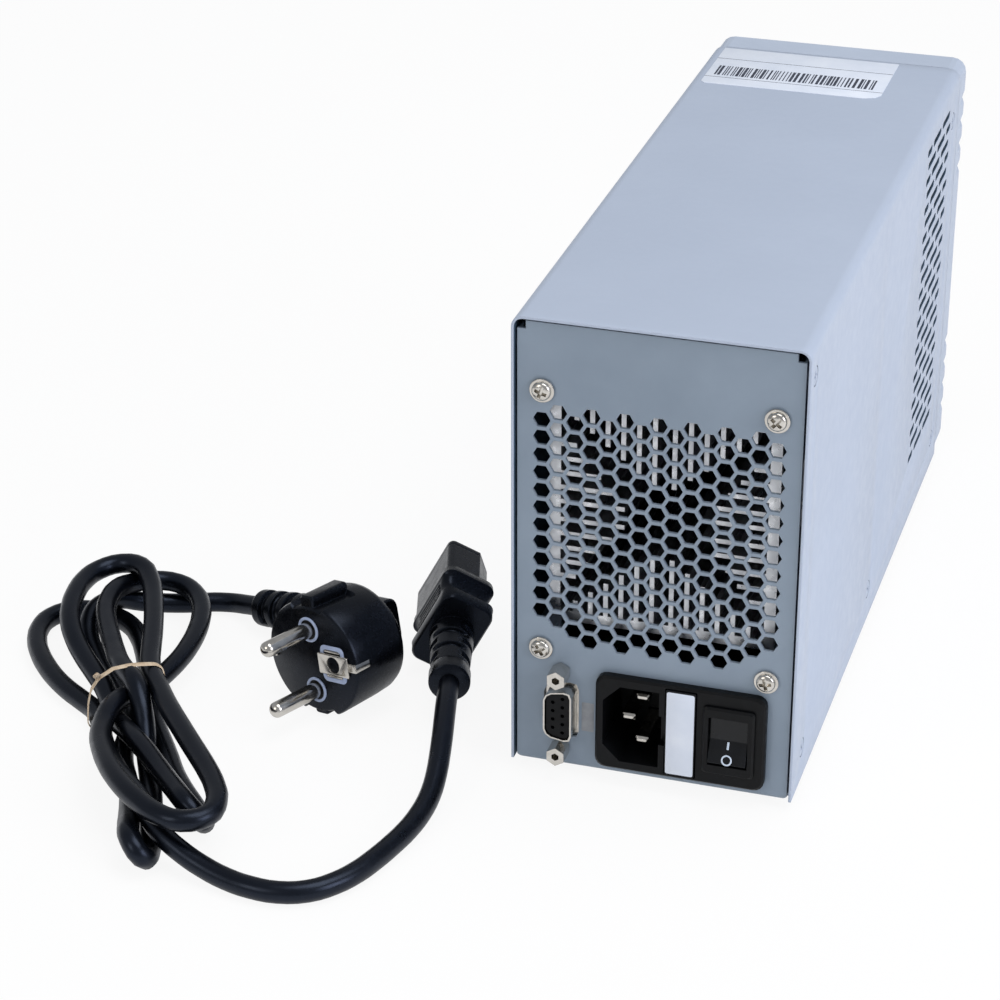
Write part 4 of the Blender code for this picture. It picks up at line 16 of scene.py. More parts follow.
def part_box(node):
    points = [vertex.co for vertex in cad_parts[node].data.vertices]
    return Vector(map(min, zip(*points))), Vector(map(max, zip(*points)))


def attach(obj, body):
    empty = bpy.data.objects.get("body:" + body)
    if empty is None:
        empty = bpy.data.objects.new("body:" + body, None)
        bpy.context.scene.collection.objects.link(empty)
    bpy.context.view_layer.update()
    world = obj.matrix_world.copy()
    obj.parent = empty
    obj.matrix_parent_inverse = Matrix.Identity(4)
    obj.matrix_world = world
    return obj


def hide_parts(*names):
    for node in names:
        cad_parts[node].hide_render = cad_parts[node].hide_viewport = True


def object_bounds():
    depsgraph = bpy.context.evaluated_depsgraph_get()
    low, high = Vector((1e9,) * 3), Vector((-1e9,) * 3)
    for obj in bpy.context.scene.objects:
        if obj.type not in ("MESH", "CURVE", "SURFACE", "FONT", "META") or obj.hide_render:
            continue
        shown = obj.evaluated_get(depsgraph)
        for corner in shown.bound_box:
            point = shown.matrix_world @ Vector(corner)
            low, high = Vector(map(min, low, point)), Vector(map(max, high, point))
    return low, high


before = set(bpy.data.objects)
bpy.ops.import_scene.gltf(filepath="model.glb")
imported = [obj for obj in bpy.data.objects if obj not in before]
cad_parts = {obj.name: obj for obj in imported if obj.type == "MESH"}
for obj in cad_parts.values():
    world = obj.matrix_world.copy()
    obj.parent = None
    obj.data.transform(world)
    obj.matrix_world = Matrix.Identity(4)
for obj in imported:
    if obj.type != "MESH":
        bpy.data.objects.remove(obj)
cad_box = [list(corner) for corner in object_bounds()]
MM = 0.001
scene = bpy.context.scene
scene.view_settings.view_transform = "Standard"
print("CAD pieces:", len(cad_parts), "box in mm:", [[round(v / MM, 1) for v in c] for c in cad_box])

# %% [markdown]
# The photograph was taken with a long lens from behind and above, a little to the instrument's left.
# A camera fitted to the corners of the cover gives its place, its turn, its tilt and its focal length.
# A long lens keeps upright edges almost parallel.

# %% Camera
CAMERA_PLACE = Vector((-176.67, 837.67, 469.95)) * MM
CAMERA_TURN = 197.338
CAMERA_TILT = 90 - 27.394
CAMERA_ROLL = -0.171
LENS = 109.13


def turned(degrees, axis="Z"):
    """A rotation about one axis."""
    return Matrix.Rotation(radians(degrees), 4, axis)


def added(name, data):
    """A new object in the scene."""
    made = bpy.data.objects.new(name, data)
    scene.collection.objects.link(made)
    return made


camera = added("camera", bpy.data.cameras.new("camera"))
camera.data.lens = LENS
camera.data.clip_start = 0.01
turn = turned(CAMERA_TURN) @ turned(CAMERA_TILT, "X") @ turned(CAMERA_ROLL)
camera.matrix_world = Matrix.Translation(CAMERA_PLACE) @ turn
scene.camera = camera
print("camera at", tuple(round(v, 3) for v in CAMERA_PLACE), "with a lens of", LENS, "mm")

# %% [markdown]
# A studio table is a pale sheet under large soft lamps. The world gives an even light from all round, and
# three square lamps add the direction that shows form. Their level is plain: a colour comes out of the
# render about as it is written. The camera, also through glass, sees a white world and a floor lifted
# towards white. Glossy surfaces mirror both a little darker, as in a studio whose walls aren't white.


# %% Colours and nodes
def linear(code):
    """An sRGB hex colour as Blender's linear colour, opaque."""
    parts = [int(code[i:i + 2], 16) / 255 for i in (1, 3, 5)]
    return [c / 12.92 if c <= 0.04045 else ((c + 0.055) / 1.055) ** 2.4 for c in parts] + [1.0]


def feed(tree, made, inputs):
    """Fills inputs, by name or number, with values, other sockets or nodes' first outputs."""
    for key, value in inputs.items():
        value = value.outputs[0] if isinstance(value, bpy.types.Node) else value
        if isinstance(value, bpy.types.NodeSocket):
            tree.links.new(value, made.inputs[key])
        else:
            made.inputs[key].default_value = value
    return made


def node(tree, kind, inputs=None, **settings):
    """Adds a node and feeds it."""
    made = tree.nodes.new("ShaderNode" + kind)
    for key, value in settings.items():
        setattr(made, key, value)
    return feed(tree, made, inputs or {})


# %% Floor and world
FLOOR_HALF = 6.0
FLOOR_LIFT = 0.9
GLOSSY_LIFT = 0.45
WORLD_LEVEL = 0.55
GLOSSY_LEVEL = 0.4


def kinds_of_ray(tree):
    """Light Path, and a value that is 1 for camera rays and for rays that went through glass."""
    path = node(tree, "LightPath")
    direct = node(tree, "Math", {0: path.outputs["Is Camera Ray"], 1: path.outputs["Is Transmission Ray"]},
                  operation="MAXIMUM")
    return path, direct


def studio_floor():
    """White paper that the camera sees brighter than the lamps make it, with its shadows kept."""
    material = bpy.data.materials.new("studio_floor")
    material.use_nodes = True
    tree = material.node_tree
    tree.nodes.clear()
    path, direct = kinds_of_ray(tree)
    glossy = node(tree, "Math", {0: path.outputs["Is Glossy Ray"], 1: GLOSSY_LIFT},
                  operation="MULTIPLY")
    lifted = node(tree, "Math", {0: direct, 1: FLOOR_LIFT, 2: glossy},
                  operation="MULTIPLY_ADD")
    grain = node(tree, "TexNoise", {"Scale": 3.0})
    tone = node(tree, "MapRange", {"Value": grain, "To Min": 0.9, "To Max": 0.93})
    paper = node(tree, "BsdfDiffuse", {"Color": tone})
    glow = node(tree, "Emission")
    both = node(tree, "MixShader", {0: lifted, 1: paper, 2: glow})
    node(tree, "OutputMaterial", {"Surface": both})
    return material


floor_mesh = bpy.data.meshes.new("floor")
corners = [(x * FLOOR_HALF, y * FLOOR_HALF, 0) for x, y in ((-1, -1), (1, -1), (1, 1), (-1, 1))]
floor_mesh.from_pydata(corners, [], [(0, 1, 2, 3)])
floor = added("floor", floor_mesh)
floor.location.z = min(0.0, cad_box[0][2])
floor_mesh.materials.append(studio_floor())

world = bpy.data.worlds.new("studio")
world.use_nodes = True
scene.world = world
tree = world.node_tree
tree.nodes.clear()
path, direct = kinds_of_ray(tree)
level = node(tree, "MapRange", {"Value": path.outputs["Is Glossy Ray"], "To Min": WORLD_LEVEL,
                                "To Max": GLOSSY_LEVEL})
lit = node(tree, "Background", {"Color": linear("#F2F5FA"), "Strength": level})
white = node(tree, "Background", {"Color": linear("#FFFFFF")})
sky = node(tree, "MixShader", {0: direct, 1: lit, 2: white})
node(tree, "OutputWorld", {"Surface": sky})
print("floor at", floor.location.z, "m, world level", WORLD_LEVEL)

# %% Lamps
LAMPS_AIM = Vector((0, 0.05, 0.07))
LAMPS = (("lamp_overhead", (-0.35, 0.1, 1.3), 0.9, 7.9, "#FFFFFF"),
         ("lamp_side", (-1.2, 0.5, 0.6), 0.7, 7.0, "#F6F6FF"),
         ("lamp_behind_camera", (0.7, 1.3, 0.8), 0.6, 3.0, "#FFF9F0"))
for name, place, size, power, tint in LAMPS:
    lamp = added(name, bpy.data.lights.new(name, "AREA"))
    lamp.data.size = size
    lamp.data.energy = power
    lamp.data.color = linear(tint)[:3]
    lamp.location = place
    lamp.rotation_euler = (LAMPS_AIM - Vector(place)).to_track_quat("-Z", "Y").to_euler()
print("lamps:", [row[0] for row in LAMPS])

# %% [markdown]
# Most surfaces of an instrument are paint or moulded plastic, and they share one recipe. Slow noise shifts
# the colour a little, as handling and batch changes do. Finer noise moves the roughness. Fine grain makes
# the bump. A bevel node rounds the light over each edge and tells where the edges are, so wear can show.

# %% The shared recipe for a surface
MATERIALS = {}


def surface(slot_name, name, base, low, high, roughness, blotch, metallic=0.0, ior=1.5, grain=0.5,
            relief=0.01, edge=0.3, worn=None, stretch=(1, 1, 1), spread=0.06, **sockets):
    """A material for a slot, from real facts: blotch, grain, relief and edge are sizes in mm."""
    material = bpy.data.materials.new(name)
    material.use_nodes = True
    tree = material.node_tree
    shader = tree.nodes["Principled BSDF"]
    place = node(tree, "TexCoord").outputs["Object"]
    pulled = node(tree, "Mapping", {"Vector": place, "Scale": stretch})
    slow = node(tree, "TexNoise", {"Vector": place, "Scale": 1 / (blotch * MM),
                                   "Detail": 4.0, "Roughness": 0.6})
    tint = node(tree, "ValToRGB", {0: slow})
    stops = tint.color_ramp.elements
    stops.new(0.5)
    for stop, position, code in zip(stops, (0.3, 0.5, 0.72), (low, base, high)):
        stop.position = position
        stop.color = linear(code)
    colour = tint.outputs[0]
    rounded_over = node(tree, "Bevel", {"Radius": edge * MM}, samples=4)
    if worn:
        flat = node(tree, "NewGeometry")
        facing = node(tree, "VectorMath", {0: rounded_over, 1: flat.outputs["Normal"]},
                      operation="DOT_PRODUCT")
        rim = node(tree, "MapRange", {"Value": facing.outputs["Value"], "From Min": 0.97,
                                      "From Max": 0.80, "To Max": 0.6})
        mixed = node(tree, "Mix", {0: rim, 6: colour, 7: linear(worn)}, data_type="RGBA")
        colour = mixed.outputs[2]
    fine = node(tree, "TexNoise", {"Vector": pulled, "Scale": 1 / (grain * MM), "Detail": 3.0,
                                   "Roughness": 0.55})
    patchy = node(tree, "TexNoise", {"Vector": pulled, "Scale": 1 / (6 * grain * MM)})
    gloss = node(tree, "MapRange", {"Value": patchy, "From Min": 0.3, "From Max": 0.7,
                                    "To Min": roughness - spread, "To Max": roughness + spread})
    bump = node(tree, "Bump", {"Height": fine, "Distance": relief * MM, "Normal": rounded_over})
    feed(tree, shader, {"Base Color": colour, "Roughness": gloss, "Normal": bump, "Metallic": metallic,
                        "IOR": ior})
    feed(tree, shader, {key.replace("_", " "): value for key, value in sockets.items()})
    MATERIALS[slot_name] = material
    return shader


# %% [markdown]
# The cover and the chassis are mild steel with a baked powder coat. The powder melts into a skin with a
# fine orange peel, about half a millimetre across, so highlights are soft and a little broken.
# The rear panel is sprayed darker than the cover. The bezel is moulded in ABS of the cover's colour.
# Inside, and on the walls of its slots, the cover is coloured a dark matt blue-grey. This is painted shade,
# standing for the dark seen through the slots.

# %% Paint and shell plastics
surface("powder_coated_steel", "powder_coated_steel", "#AEB9CB", "#ACB7C9", "#B1BCCE", 0.42, blotch=60,
        grain=0.55, relief=0.012, worn="#CBD3E0")
surface("painted_panel", "painted_steel_panel", "#8492A1", "#7F8D9C", "#8A98A7", 0.4, blotch=35,
        relief=0.012, edge=0.25, worn="#A3AEBA")
surface("moulded_bezel", "moulded_abs", "#B4BFD0", "#AFBACB", "#B9C4D5", 0.45, ior=1.53, blotch=50,
        grain=0.35, relief=0.015, worn="#CCD4E0")
surface("dark_panel", "screened_polycarbonate", "#31373F", "#2C3239", "#383E47", 0.5, ior=1.58, blotch=30,
        grain=0.3, edge=0.2, worn="#4A515B")
# Painted shade: a dark matt blue-grey for the cover's inside and the walls of its slots, so that the slots
# look dark.
surface("slot_shade_paint", "painted_slot_shade", "#45586A", "#3E5060", "#4E6276", 0.6, blotch=12, edge=0.1,
        Specular_IOR_Level=0.2)
print("paints and shells:", len(MATERIALS))

# %% [markdown]
# Sockets, switch and fan are glass-filled nylon: black, slightly grey in the light, with a faint pull from
# the mould. The rocker is unfilled nylon from a polished mould, so it is glossier. The lead is PVC, smooth
# with a dull blue-grey sheen. Silicone keys are matt. Post caps are nylon dyed red and black.

# %% Mouldings and rubbers
surface("black_moulding", "glass_filled_nylon", "#08090B", "#060709", "#0C0E11", 0.42, ior=1.53, blotch=9,
        grain=0.4, relief=0.02, edge=0.2, worn="#1C1F23", Specular_IOR_Level=0.16)
surface("rocker_plastic", "polished_nylon", "#0A0C10", "#080A0D", "#0E1116", 0.24, ior=1.53, blotch=8,
        grain=0.8, relief=0.006, edge=0.35, worn="#24282F", spread=0.04, Specular_IOR_Level=0.3)
surface("black_rubber", "pvc_jacket", "#06070A", "#050608", "#0A0C11", 0.27, ior=1.54, blotch=14,
        relief=0.012, worn="#12161D", spread=0.05, Specular_IOR_Level=0.26,
        Specular_Tint=linear("#C3D3F2"))
surface("cable_jacket", "extruded_pvc", "#040509", "#030406", "#07090E", 0.31, ior=1.54, blotch=20,
        grain=0.7, relief=0.003, edge=0.02, spread=0.05, Specular_IOR_Level=0.4,
        Specular_Tint=linear("#BFD0F2"))
surface("silicone_key", "silicone_rubber", "#9AA4AF", "#929CA8", "#A3ADB8", 0.62, ior=1.41, blotch=6,
        grain=0.2, worn="#B3BCC6")
surface("knob_plastic", "soft_touch_abs", "#262A30", "#21252A", "#2D3138", 0.55, ior=1.53, blotch=8,
        grain=0.25, relief=0.015, worn="#454B54")
surface("post_plastic_positive", "red_nylon", "#A81D1B", "#9A1817", "#B62522", 0.35, ior=1.53, blotch=7,
        grain=0.4, worn="#C94A45")
surface("post_plastic_negative", "black_nylon", "#1A1B1E", "#151619", "#222428", 0.35, ior=1.53, blotch=7,
        grain=0.4, worn="#3A3D43")
surface("plug_insert", "blue_polyamide", "#AAB8D6", "#A0AFCF", "#B5C2DE", 0.4, ior=1.53, blotch=4,
        grain=0.3, edge=0.25, worn="#C6D0E6")
surface("label_vinyl", "label_vinyl", "#D9E0EC", "#D3DBE8", "#E0E6F0", 0.5, blotch=12, grain=0.3,
        relief=0.004, edge=0.05, worn="#D5DAE1")
for name, *look in (("print_ink", "#343949", "#2C3140", "#3E4455", 0.55),
                    ("pale_ink", "#C9D6E6", "#C0CEDF", "#D3DEEC", 0.5),
                    ("grey_ink", "#8E9196", "#868A90", "#999CA1", 0.5)):
    surface(name, name, *look, blotch=3, grain=0.2, relief=0.003, edge=0.02)
surface("tie_paper", "waxed_paper", "#CBB69B", "#B9A387", "#DCCBB3", 0.65, ior=1.45, blotch=1.6, grain=0.3,
        relief=0.06, edge=0.1, worn="#E6DAC6")
print("mouldings:", sorted(MATERIALS))

# %% [markdown]
# Screws, pins and the serial connector's shell are steel or brass with bright nickel: warm grey and nearly
# mirror-like. The heatsinks are extruded aluminium, drawn through a die, so their grain runs along the
# tunnel, front to back. That is why the aluminium's grain is stretched in the Y direction.

# %% Metals
surface("nickel_plate", "nickel_plate", "#CFCBC4", "#C4C0B9", "#DAD7D1", 0.2, metallic=1.0, blotch=3,
        relief=0.006, edge=0.2, spread=0.07)
surface("extruded_aluminium", "extruded_aluminium", "#DCDEE2", "#CFD2D7", "#E8EAED", 0.32, metallic=1.0,
        blotch=10, grain=0.35, relief=0.02, edge=0.15, stretch=(1, 0.04, 1), spread=0.08)
surface("laminated_steel", "stacked_steel", "#5B5F66", "#4B4F56", "#6B7078", 0.45, metallic=0.9, blotch=6,
        relief=0.12, edge=0.2, stretch=(0.05, 1, 0.05), spread=0.1)
print("metals ready")

# %% [markdown]
# Inside are a green glass-fibre board, a capacitor in a shrunk sleeve, the display and its window. They
# show through the slots or from the front. Window and fuse tube are clear, so light has to pass them.

# %% Boards, sleeve and glass
surface("board_laminate", "glass_fibre_board", "#1F5B3C", "#1A4E33", "#276A48", 0.35, blotch=4, grain=0.6,
        relief=0.02, edge=0.1, worn="#7E8F55")
surface("capacitor_sleeve", "shrunk_sleeve", "#1D2A4A", "#18233F", "#243358", 0.3, ior=1.54, blotch=8,
        grain=0.8)
surface("display_glass", "display_glass", "#5E6F52", "#5B6C50", "#627356", 0.2, ior=1.52, blotch=22,
        grain=3.0, relief=0.0008, edge=0.1, spread=0.03)
surface("clear_window", "cast_acrylic", "#E8EEF0", "#E3EAEC", "#EEF3F4", 0.05, ior=1.49, blotch=20,
        grain=9.0, relief=0.0006, edge=0.2, spread=0.03, Alpha=0.22)

FUSE_CAP = 5.0


def fuse_glass():
    """A glass tube between two nickel caps, told apart by height."""
    shader = surface("fuse_glass", "fuse_tube", "#E6EAE8", "#E0E5E3", "#ECF0EE", 0.08, ior=1.52, blotch=3,
                     grain=0.8, relief=0.003, edge=0.1, spread=0.03)
    tree = MATERIALS["fuse_glass"].node_tree
    low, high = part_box("fuse_cartridge")
    axes = node(tree, "SeparateXYZ", {0: node(tree, "TexCoord").outputs["Object"]})
    off = node(tree, "Math", {0: axes.outputs["Z"], 1: (low.z + high.z) / 2}, operation="SUBTRACT")
    far = node(tree, "Math", {0: off}, operation="ABSOLUTE")
    cap_here = node(tree, "Math", {0: far, 1: (high.z - low.z) / 2 - FUSE_CAP * MM},
                    operation="GREATER_THAN")
    clear_here = node(tree, "Math", {0: 1.0, 1: cap_here}, operation="SUBTRACT")
    feed(tree, shader, {"Metallic": cap_here, "Transmission Weight": clear_here})


fuse_glass()
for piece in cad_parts.values():
    for place in piece.material_slots:
        slot_name = place.material.name.split(".")[0]
        place.material = MATERIALS[slot_name]
print("finishes on CAD pieces:", len(MATERIALS))

# %% [markdown]
# New pieces are made from outlines. A punched sheet is a filled flat outline with holes. A moulding is a
# loft, a skin over a row of sections. A lathe shape is a loft of circles. Each helper returns a mesh, and
# dress() gives it a name, a finish, a body to move with and a material slot.


# %% Helpers that make meshes
def dress(name, mesh, finish, body="housing", crease=35.0):
    """Makes a piece, shades it smoothly up to a crease angle and seats it on its body."""
    mesh.name = name
    piece = added(name, mesh)
    mesh.materials.clear()
    mesh.materials.append(MATERIALS[finish])
    mesh.shade_smooth()
    mesh.set_sharp_from_angle(angle=radians(crease))
    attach(piece, body)
    print(name, "faces:", len(mesh.polygons))
    return piece


def rounded(width, height, radius, steps=5, centre=(0.0, 0.0)):
    """A rectangle with round corners, as points in mm."""
    points = []
    for side, rise, start in ((1, 1, 0), (-1, 1, 90), (-1, -1, 180), (1, -1, 270)):
        hub = (centre[0] + side * (width / 2 - radius), centre[1] + rise * (height / 2 - radius))
        for i in range(steps + 1):
            angle = radians(start + 90 * i / steps)
            points.append((hub[0] + radius * cos(angle), hub[1] + radius * sin(angle)))
    return points


def ring(radius, steps=40, centre=(0.0, 0.0)):
    """A circle, as points in mm."""
    turns = [tau * i / steps for i in range(steps)]
    return [(centre[0] + radius * cos(t), centre[1] + radius * sin(t)) for t in turns]


def settled(holder):
    """The mesh that an object's curve or modifiers come to."""
    bpy.context.view_layer.update()
    return bpy.data.meshes.new_from_object(holder.evaluated_get(bpy.context.evaluated_depsgraph_get()))


def as_mesh(bm, mesh=None):
    """Writes bmesh work into a mesh, a new one if none is given, and frees it."""
    mesh = mesh or bpy.data.meshes.new("made")
    bm.to_mesh(mesh)
    bm.free()
    return mesh


def sheet(outlines, thick=0.5, ease=0.12):
    """A plate from outlines in mm: the first is its edge and the others are holes. It lies on z = 0."""
    curve = bpy.data.curves.new("outline", "CURVE")
    curve.dimensions = "2D"
    curve.fill_mode = "BOTH"
    curve.extrude = thick / 2 - ease
    curve.bevel_depth = ease
    curve.bevel_resolution = 1
    curve.offset = -ease
    for points in outlines:
        spline = curve.splines.new("POLY")
        spline.points.add(len(points) - 1)
        for place, (x, y) in zip(spline.points, points):
            place.co = (x, y, 0, 1)
        spline.use_cyclic_u = True
    holder = added("outline", curve)
    mesh = settled(holder)
    bpy.data.objects.remove(holder)
    bpy.data.curves.remove(curve)
    bm = bmesh.new()
    bm.from_mesh(mesh)
    bmesh.ops.remove_doubles(bm, verts=bm.verts, dist=0.001)
    bmesh.ops.recalc_face_normals(bm, faces=bm.faces)
    return shifted(as_mesh(bm, mesh), 0, 0, thick / 2)


def shifted(mesh, x, y, z):
    """The mesh moved, in mm."""
    mesh.transform(Matrix.Translation((x, y, z)))
    return mesh


def placed(mesh, matrix=Matrix()):
    """The mesh turned from millimetres into metres, in a frame."""
    mesh.transform(matrix @ Matrix.Scale(MM, 4))
    return mesh


def joined(meshes):
    """Several meshes as one."""
    bm = bmesh.new()
    for mesh in meshes:
        bm.from_mesh(mesh)
        bpy.data.meshes.remove(mesh)
    return as_mesh(bm)


def skinned(rings, caps=(True, True)):
    """A mesh from rows of points: a skin from each closed row to the next, with its ends closed."""
    bm = bmesh.new()
    rows = [[bm.verts.new(point) for point in points] for points in rings]
    for low, high in zip(rows, rows[1:]):
        for i in range(len(low)):
            j = (i + 1) % len(low)
            bm.faces.new((low[i], low[j], high[j], high[i]))
    if caps[0]:
        bm.faces.new(rows[0][::-1])
    if caps[1]:
        bm.faces.new(rows[-1])
    bmesh.ops.recalc_face_normals(bm, faces=bm.faces)
    return as_mesh(bm)


def loft(sections, caps=(True, True)):
    """A skin over sections, each (points in mm, height along Z in mm)."""
    return skinned([[(x, y, along) for x, y in points] for points, along in sections], caps)


def bar(rows, steps=4, centre=(0.0, 0.0)):
    """A loft of rounded rectangles from (width, height, corner, height along Z) rows in mm."""
    return loft([(rounded(width, height, corner, steps, centre), along)
                 for width, height, corner, along in rows])


def lathe(profile, steps=40, caps=(True, True)):
    """A loft of circles from (radius, height) rows in mm."""
    return loft([(ring(radius, steps), along) for radius, along in profile], caps)


def frame_at(origin, forward, side):
    """A frame whose third axis runs forward and whose first is near side."""
    third = forward.normalized()
    first = (side - third * side.dot(third)).normalized()
    made = Matrix((first, third.cross(first), third)).transposed().to_4x4()
    made.translation = origin
    return made


# %% [markdown]
# The mains lead is one length of round PVC cable, 6.2 mm thick, seen from end to end. From the connector it
# lies on the table, runs into a folded hank and comes out again to the plug. A curve through points on its
# centreline with a round bevel keeps its thickness the same everywhere, as extruded cable does.

# %% The lead's route
COVER_REAR = 130.35
CORD_RADIUS = 3.1
# Points without a height rest on the floor.
CORD_ROUTE = (
    (65.1, -16.7, 13.9), (63.3, -8.9, 13.8), (61.4, -1.2, 13.0), (59.5, 6.5, 11.7), (57.8, 14.1, 10.0),
    (56.4, 21.7, 7.9), (55.7, 29.3, 5.8), (56.0, 37.2, 4.4), (57.2, 45.0, 3.6), (59.0, 52.8, 3.2),
    (61.1, 60.5), (63.8, 68.0), (67.8, 74.9), (73.4, 80.4), (80.8, 83.2), (88.7, 83.2), (96.4, 81.5, 3.4),
    (104.0, 79.4, 4.5), (111.4, 77.1, 6.6), (118.2, 74.0, 9.0), (123.9, 68.8, 10.7), (129.3, 62.9, 11.6),
    (134.9, 57.3, 11.4), (140.3, 51.4, 10.4), (145.1, 45.2, 9.2), (149.7, 38.8, 8.0), (153.9, 32.2, 6.9),
    (157.6, 25.4, 4.7), (160.9, 18.4), (165.4, 12.2), (171.8, 7.6), (178.4, 3.2), (184.6, -1.8),
    (190.2, -7.4), (195.3, -13.6), (199.5, -20.3), (202.2, -27.8), (201.9, -35.6), (197.2, -41.5),
    (189.7, -43.4), (182.1, -41.5), (175.4, -37.5), (170.2, -31.6), (165.9, -24.9), (162.0, -17.9),
    (158.4, -10.8), (155.0, -3.6), (151.6, 3.7), (147.7, 10.7), (143.4, 17.3), (138.8, 23.9),
    (134.3, 30.5), (129.9, 37.2), (124.9, 43.5), (119.5, 49.5), (114.3, 55.5, 3.4), (111.6, 61.4, 6.5),
    (115.9, 60.8, 10.6), (121.5, 55.3, 10.7), (127.0, 49.5, 10.3), (132.6, 43.8, 10.4),
    (138.3, 38.2, 10.8), (144.2, 32.8, 10.8), (149.7, 27.1, 9.7), (154.7, 21.1, 7.9), (159.4, 14.4, 8.7),
    (164.3, 8.3, 10.2), (170.0, 2.6, 11.3), (175.6, -2.9, 12.4), (180.9, -8.8, 13.8), (185.3, -15.3, 15.2),
    (188.4, -22.6, 16.1), (190.3, -30.4, 16.5), (191.1, -38.4, 16.5), (189.5, -46.1, 16.6),
    (183.8, -51.0, 17.3), (176.5, -49.8, 17.9), (171.2, -43.9, 17.0), (167.3, -36.9, 16.4),
    (164.0, -29.6, 16.2), (160.9, -22.2, 16.1), (158.0, -14.7, 16.0), (155.3, -7.2, 15.9),
    (152.4, 0.3, 15.8), (148.6, 7.2, 15.8), (143.8, 13.6, 15.8), (139.1, 20.0, 15.9), (134.1, 26.3, 16.0),
    (129.0, 32.4, 16.0), (123.9, 38.5, 16.0), (118.7, 44.6, 16.0), (113.6, 50.8, 16.0),
    (108.9, 57.3, 16.0), (105.4, 64.5, 16.0), (105.2, 72.1, 16.0), (110.9, 76.5, 16.1),
    (118.5, 75.3, 16.2), (125.4, 71.3, 16.4), (131.7, 66.4, 16.4), (137.4, 60.7, 16.1),
    (142.4, 54.4, 15.5), (146.8, 47.8, 14.7), (150.7, 40.8, 13.9), (153.3, 33.2, 13.5),
    (154.4, 25.3, 14.2), (154.0, 17.2, 13.1), (152.8, 9.7, 10.2), (151.4, 1.8, 9.3), (150.0, -6.1, 9.4),
    (149.2, -14.1, 9.6), (149.5, -22.1, 9.6), (150.5, -30.0, 9.6), (152.3, -37.8, 9.7),
    (155.2, -45.2, 9.9), (159.9, -51.6, 10.2), (166.8, -55.2, 10.7), (174.2, -53.6, 11.4),
    (179.2, -47.8, 12.7), (181.0, -40.4, 14.3), (180.4, -32.5, 14.5), (177.9, -25.0, 14.6),
    (174.2, -18.0, 14.8), (170.1, -11.1, 15.0), (165.9, -4.3, 15.3), (161.5, 2.4, 15.9),
    (156.6, 8.7, 16.9), (151.0, 14.6, 17.2), (146.8, 20.2, 13.5), (143.7, 25.4, 8.2), (140.6, 31.8, 4.7),
    (137.0, 38.8, 3.3), (133.5, 45.9), (130.1, 53.2), (127.2, 60.7), (124.2, 68.1), (121.3, 75.6, 3.3),
    (120.7, 82.0, 6.2), (125.0, 79.4, 9.5), (128.6, 72.5, 8.4), (131.6, 65.3, 6.3), (134.6, 57.9, 5.1),
    (137.9, 50.6, 4.5), (141.9, 43.7, 3.8), (145.9, 36.8, 3.2), (149.1, 29.6), (151.1, 21.8),
    (153.9, 14.3), (157.9, 7.5), (162.8, 1.3), (168.0, -4.8), (173.1, -10.9, 3.3), (178.2, -16.9, 4.2),
    (183.0, -22.8, 6.3), (185.6, -29.7, 8.8), (185.4, -37.6, 9.5), (182.6, -45.0, 8.0),
    (177.3, -50.1, 5.2), (170.4, -53.8, 3.8), (163.0, -56.9), (157.0, -59.4), (151.0, -60.6, 3.4),
    (145.5, -59.0, 4.5), (140.5, -56.9, 5.8), (138.0, -55.8, 6.4),
)
CORD_ROUTE = [(*point, CORD_RADIUS)[:3] for point in CORD_ROUTE]


def spot(point):
    """A place from (across, distance behind the cover, height) in mm."""
    return Vector((point[0], COVER_REAR + point[1], point[2])) * MM


# %% The lead
LOWEST = CORD_RADIUS + 0.25
lead_line = bpy.data.curves.new("mains_lead", "CURVE")
lead_line.dimensions = "3D"
lead_line.bevel_depth = CORD_RADIUS * MM
lead_line.bevel_resolution = 6
lead_line.resolution_u = 3
lead_line.use_fill_caps = True
spline = lead_line.splines.new("BEZIER")
spline.bezier_points.add(len(CORD_ROUTE) - 1)
for knot, (x, behind, rise) in zip(spline.bezier_points, CORD_ROUTE):
    knot.co = spot((x, behind, max(rise, LOWEST)))
    knot.handle_left_type = "AUTO"
    knot.handle_right_type = "AUTO"
lead_line.materials.append(MATERIALS["cable_jacket"])
mains_lead = added("mains_lead", lead_line)
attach(mains_lead, "housing")
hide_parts("lead_to_connector", "cord_hank", "lead_to_plug")
print("lead:", len(CORD_ROUTE), "points")

# %% [markdown]
# Both ends of the lead are moulded on, and each has a strain relief: a tapered boot with short grooves
# cut round it in turn, so it bends but doesn't kink. The boot is a lathe shape whose radius drops where a
# groove is. Grooves cover part of a turn, and the connector's next row sits a quarter turn away.


# %% Grooved boots
BOOT_STEPS = 64
BOOT_SLICE = 0.3
GROOVE_END = 1.25
GROOVE_WALL = 0.45
GROOVE_CORNER = 0.25


def groove(along, angle, pitch, rows, width, sector, first, stagger):
    """How deep a boot is cut at a place, from 0 to 1. Grooves come in pairs, half a turn apart."""
    cut = 0.0
    for row in range(rows):
        off = abs(along - pitch * (row + 1)) / (width / 2)
        centre = first + (stagger if row % 2 else 0.0)
        swing = abs((angle - centre + 90) % 180 - 90) / (sector / 2)
        if off < GROOVE_END and swing < GROOVE_END:
            reach = min(1.0, (GROOVE_END - off) / GROOVE_WALL)
            reach *= min(1.0, (GROOVE_END - swing) / GROOVE_CORNER)
            cut = max(cut, reach * reach * (3 - 2 * reach))
    return cut


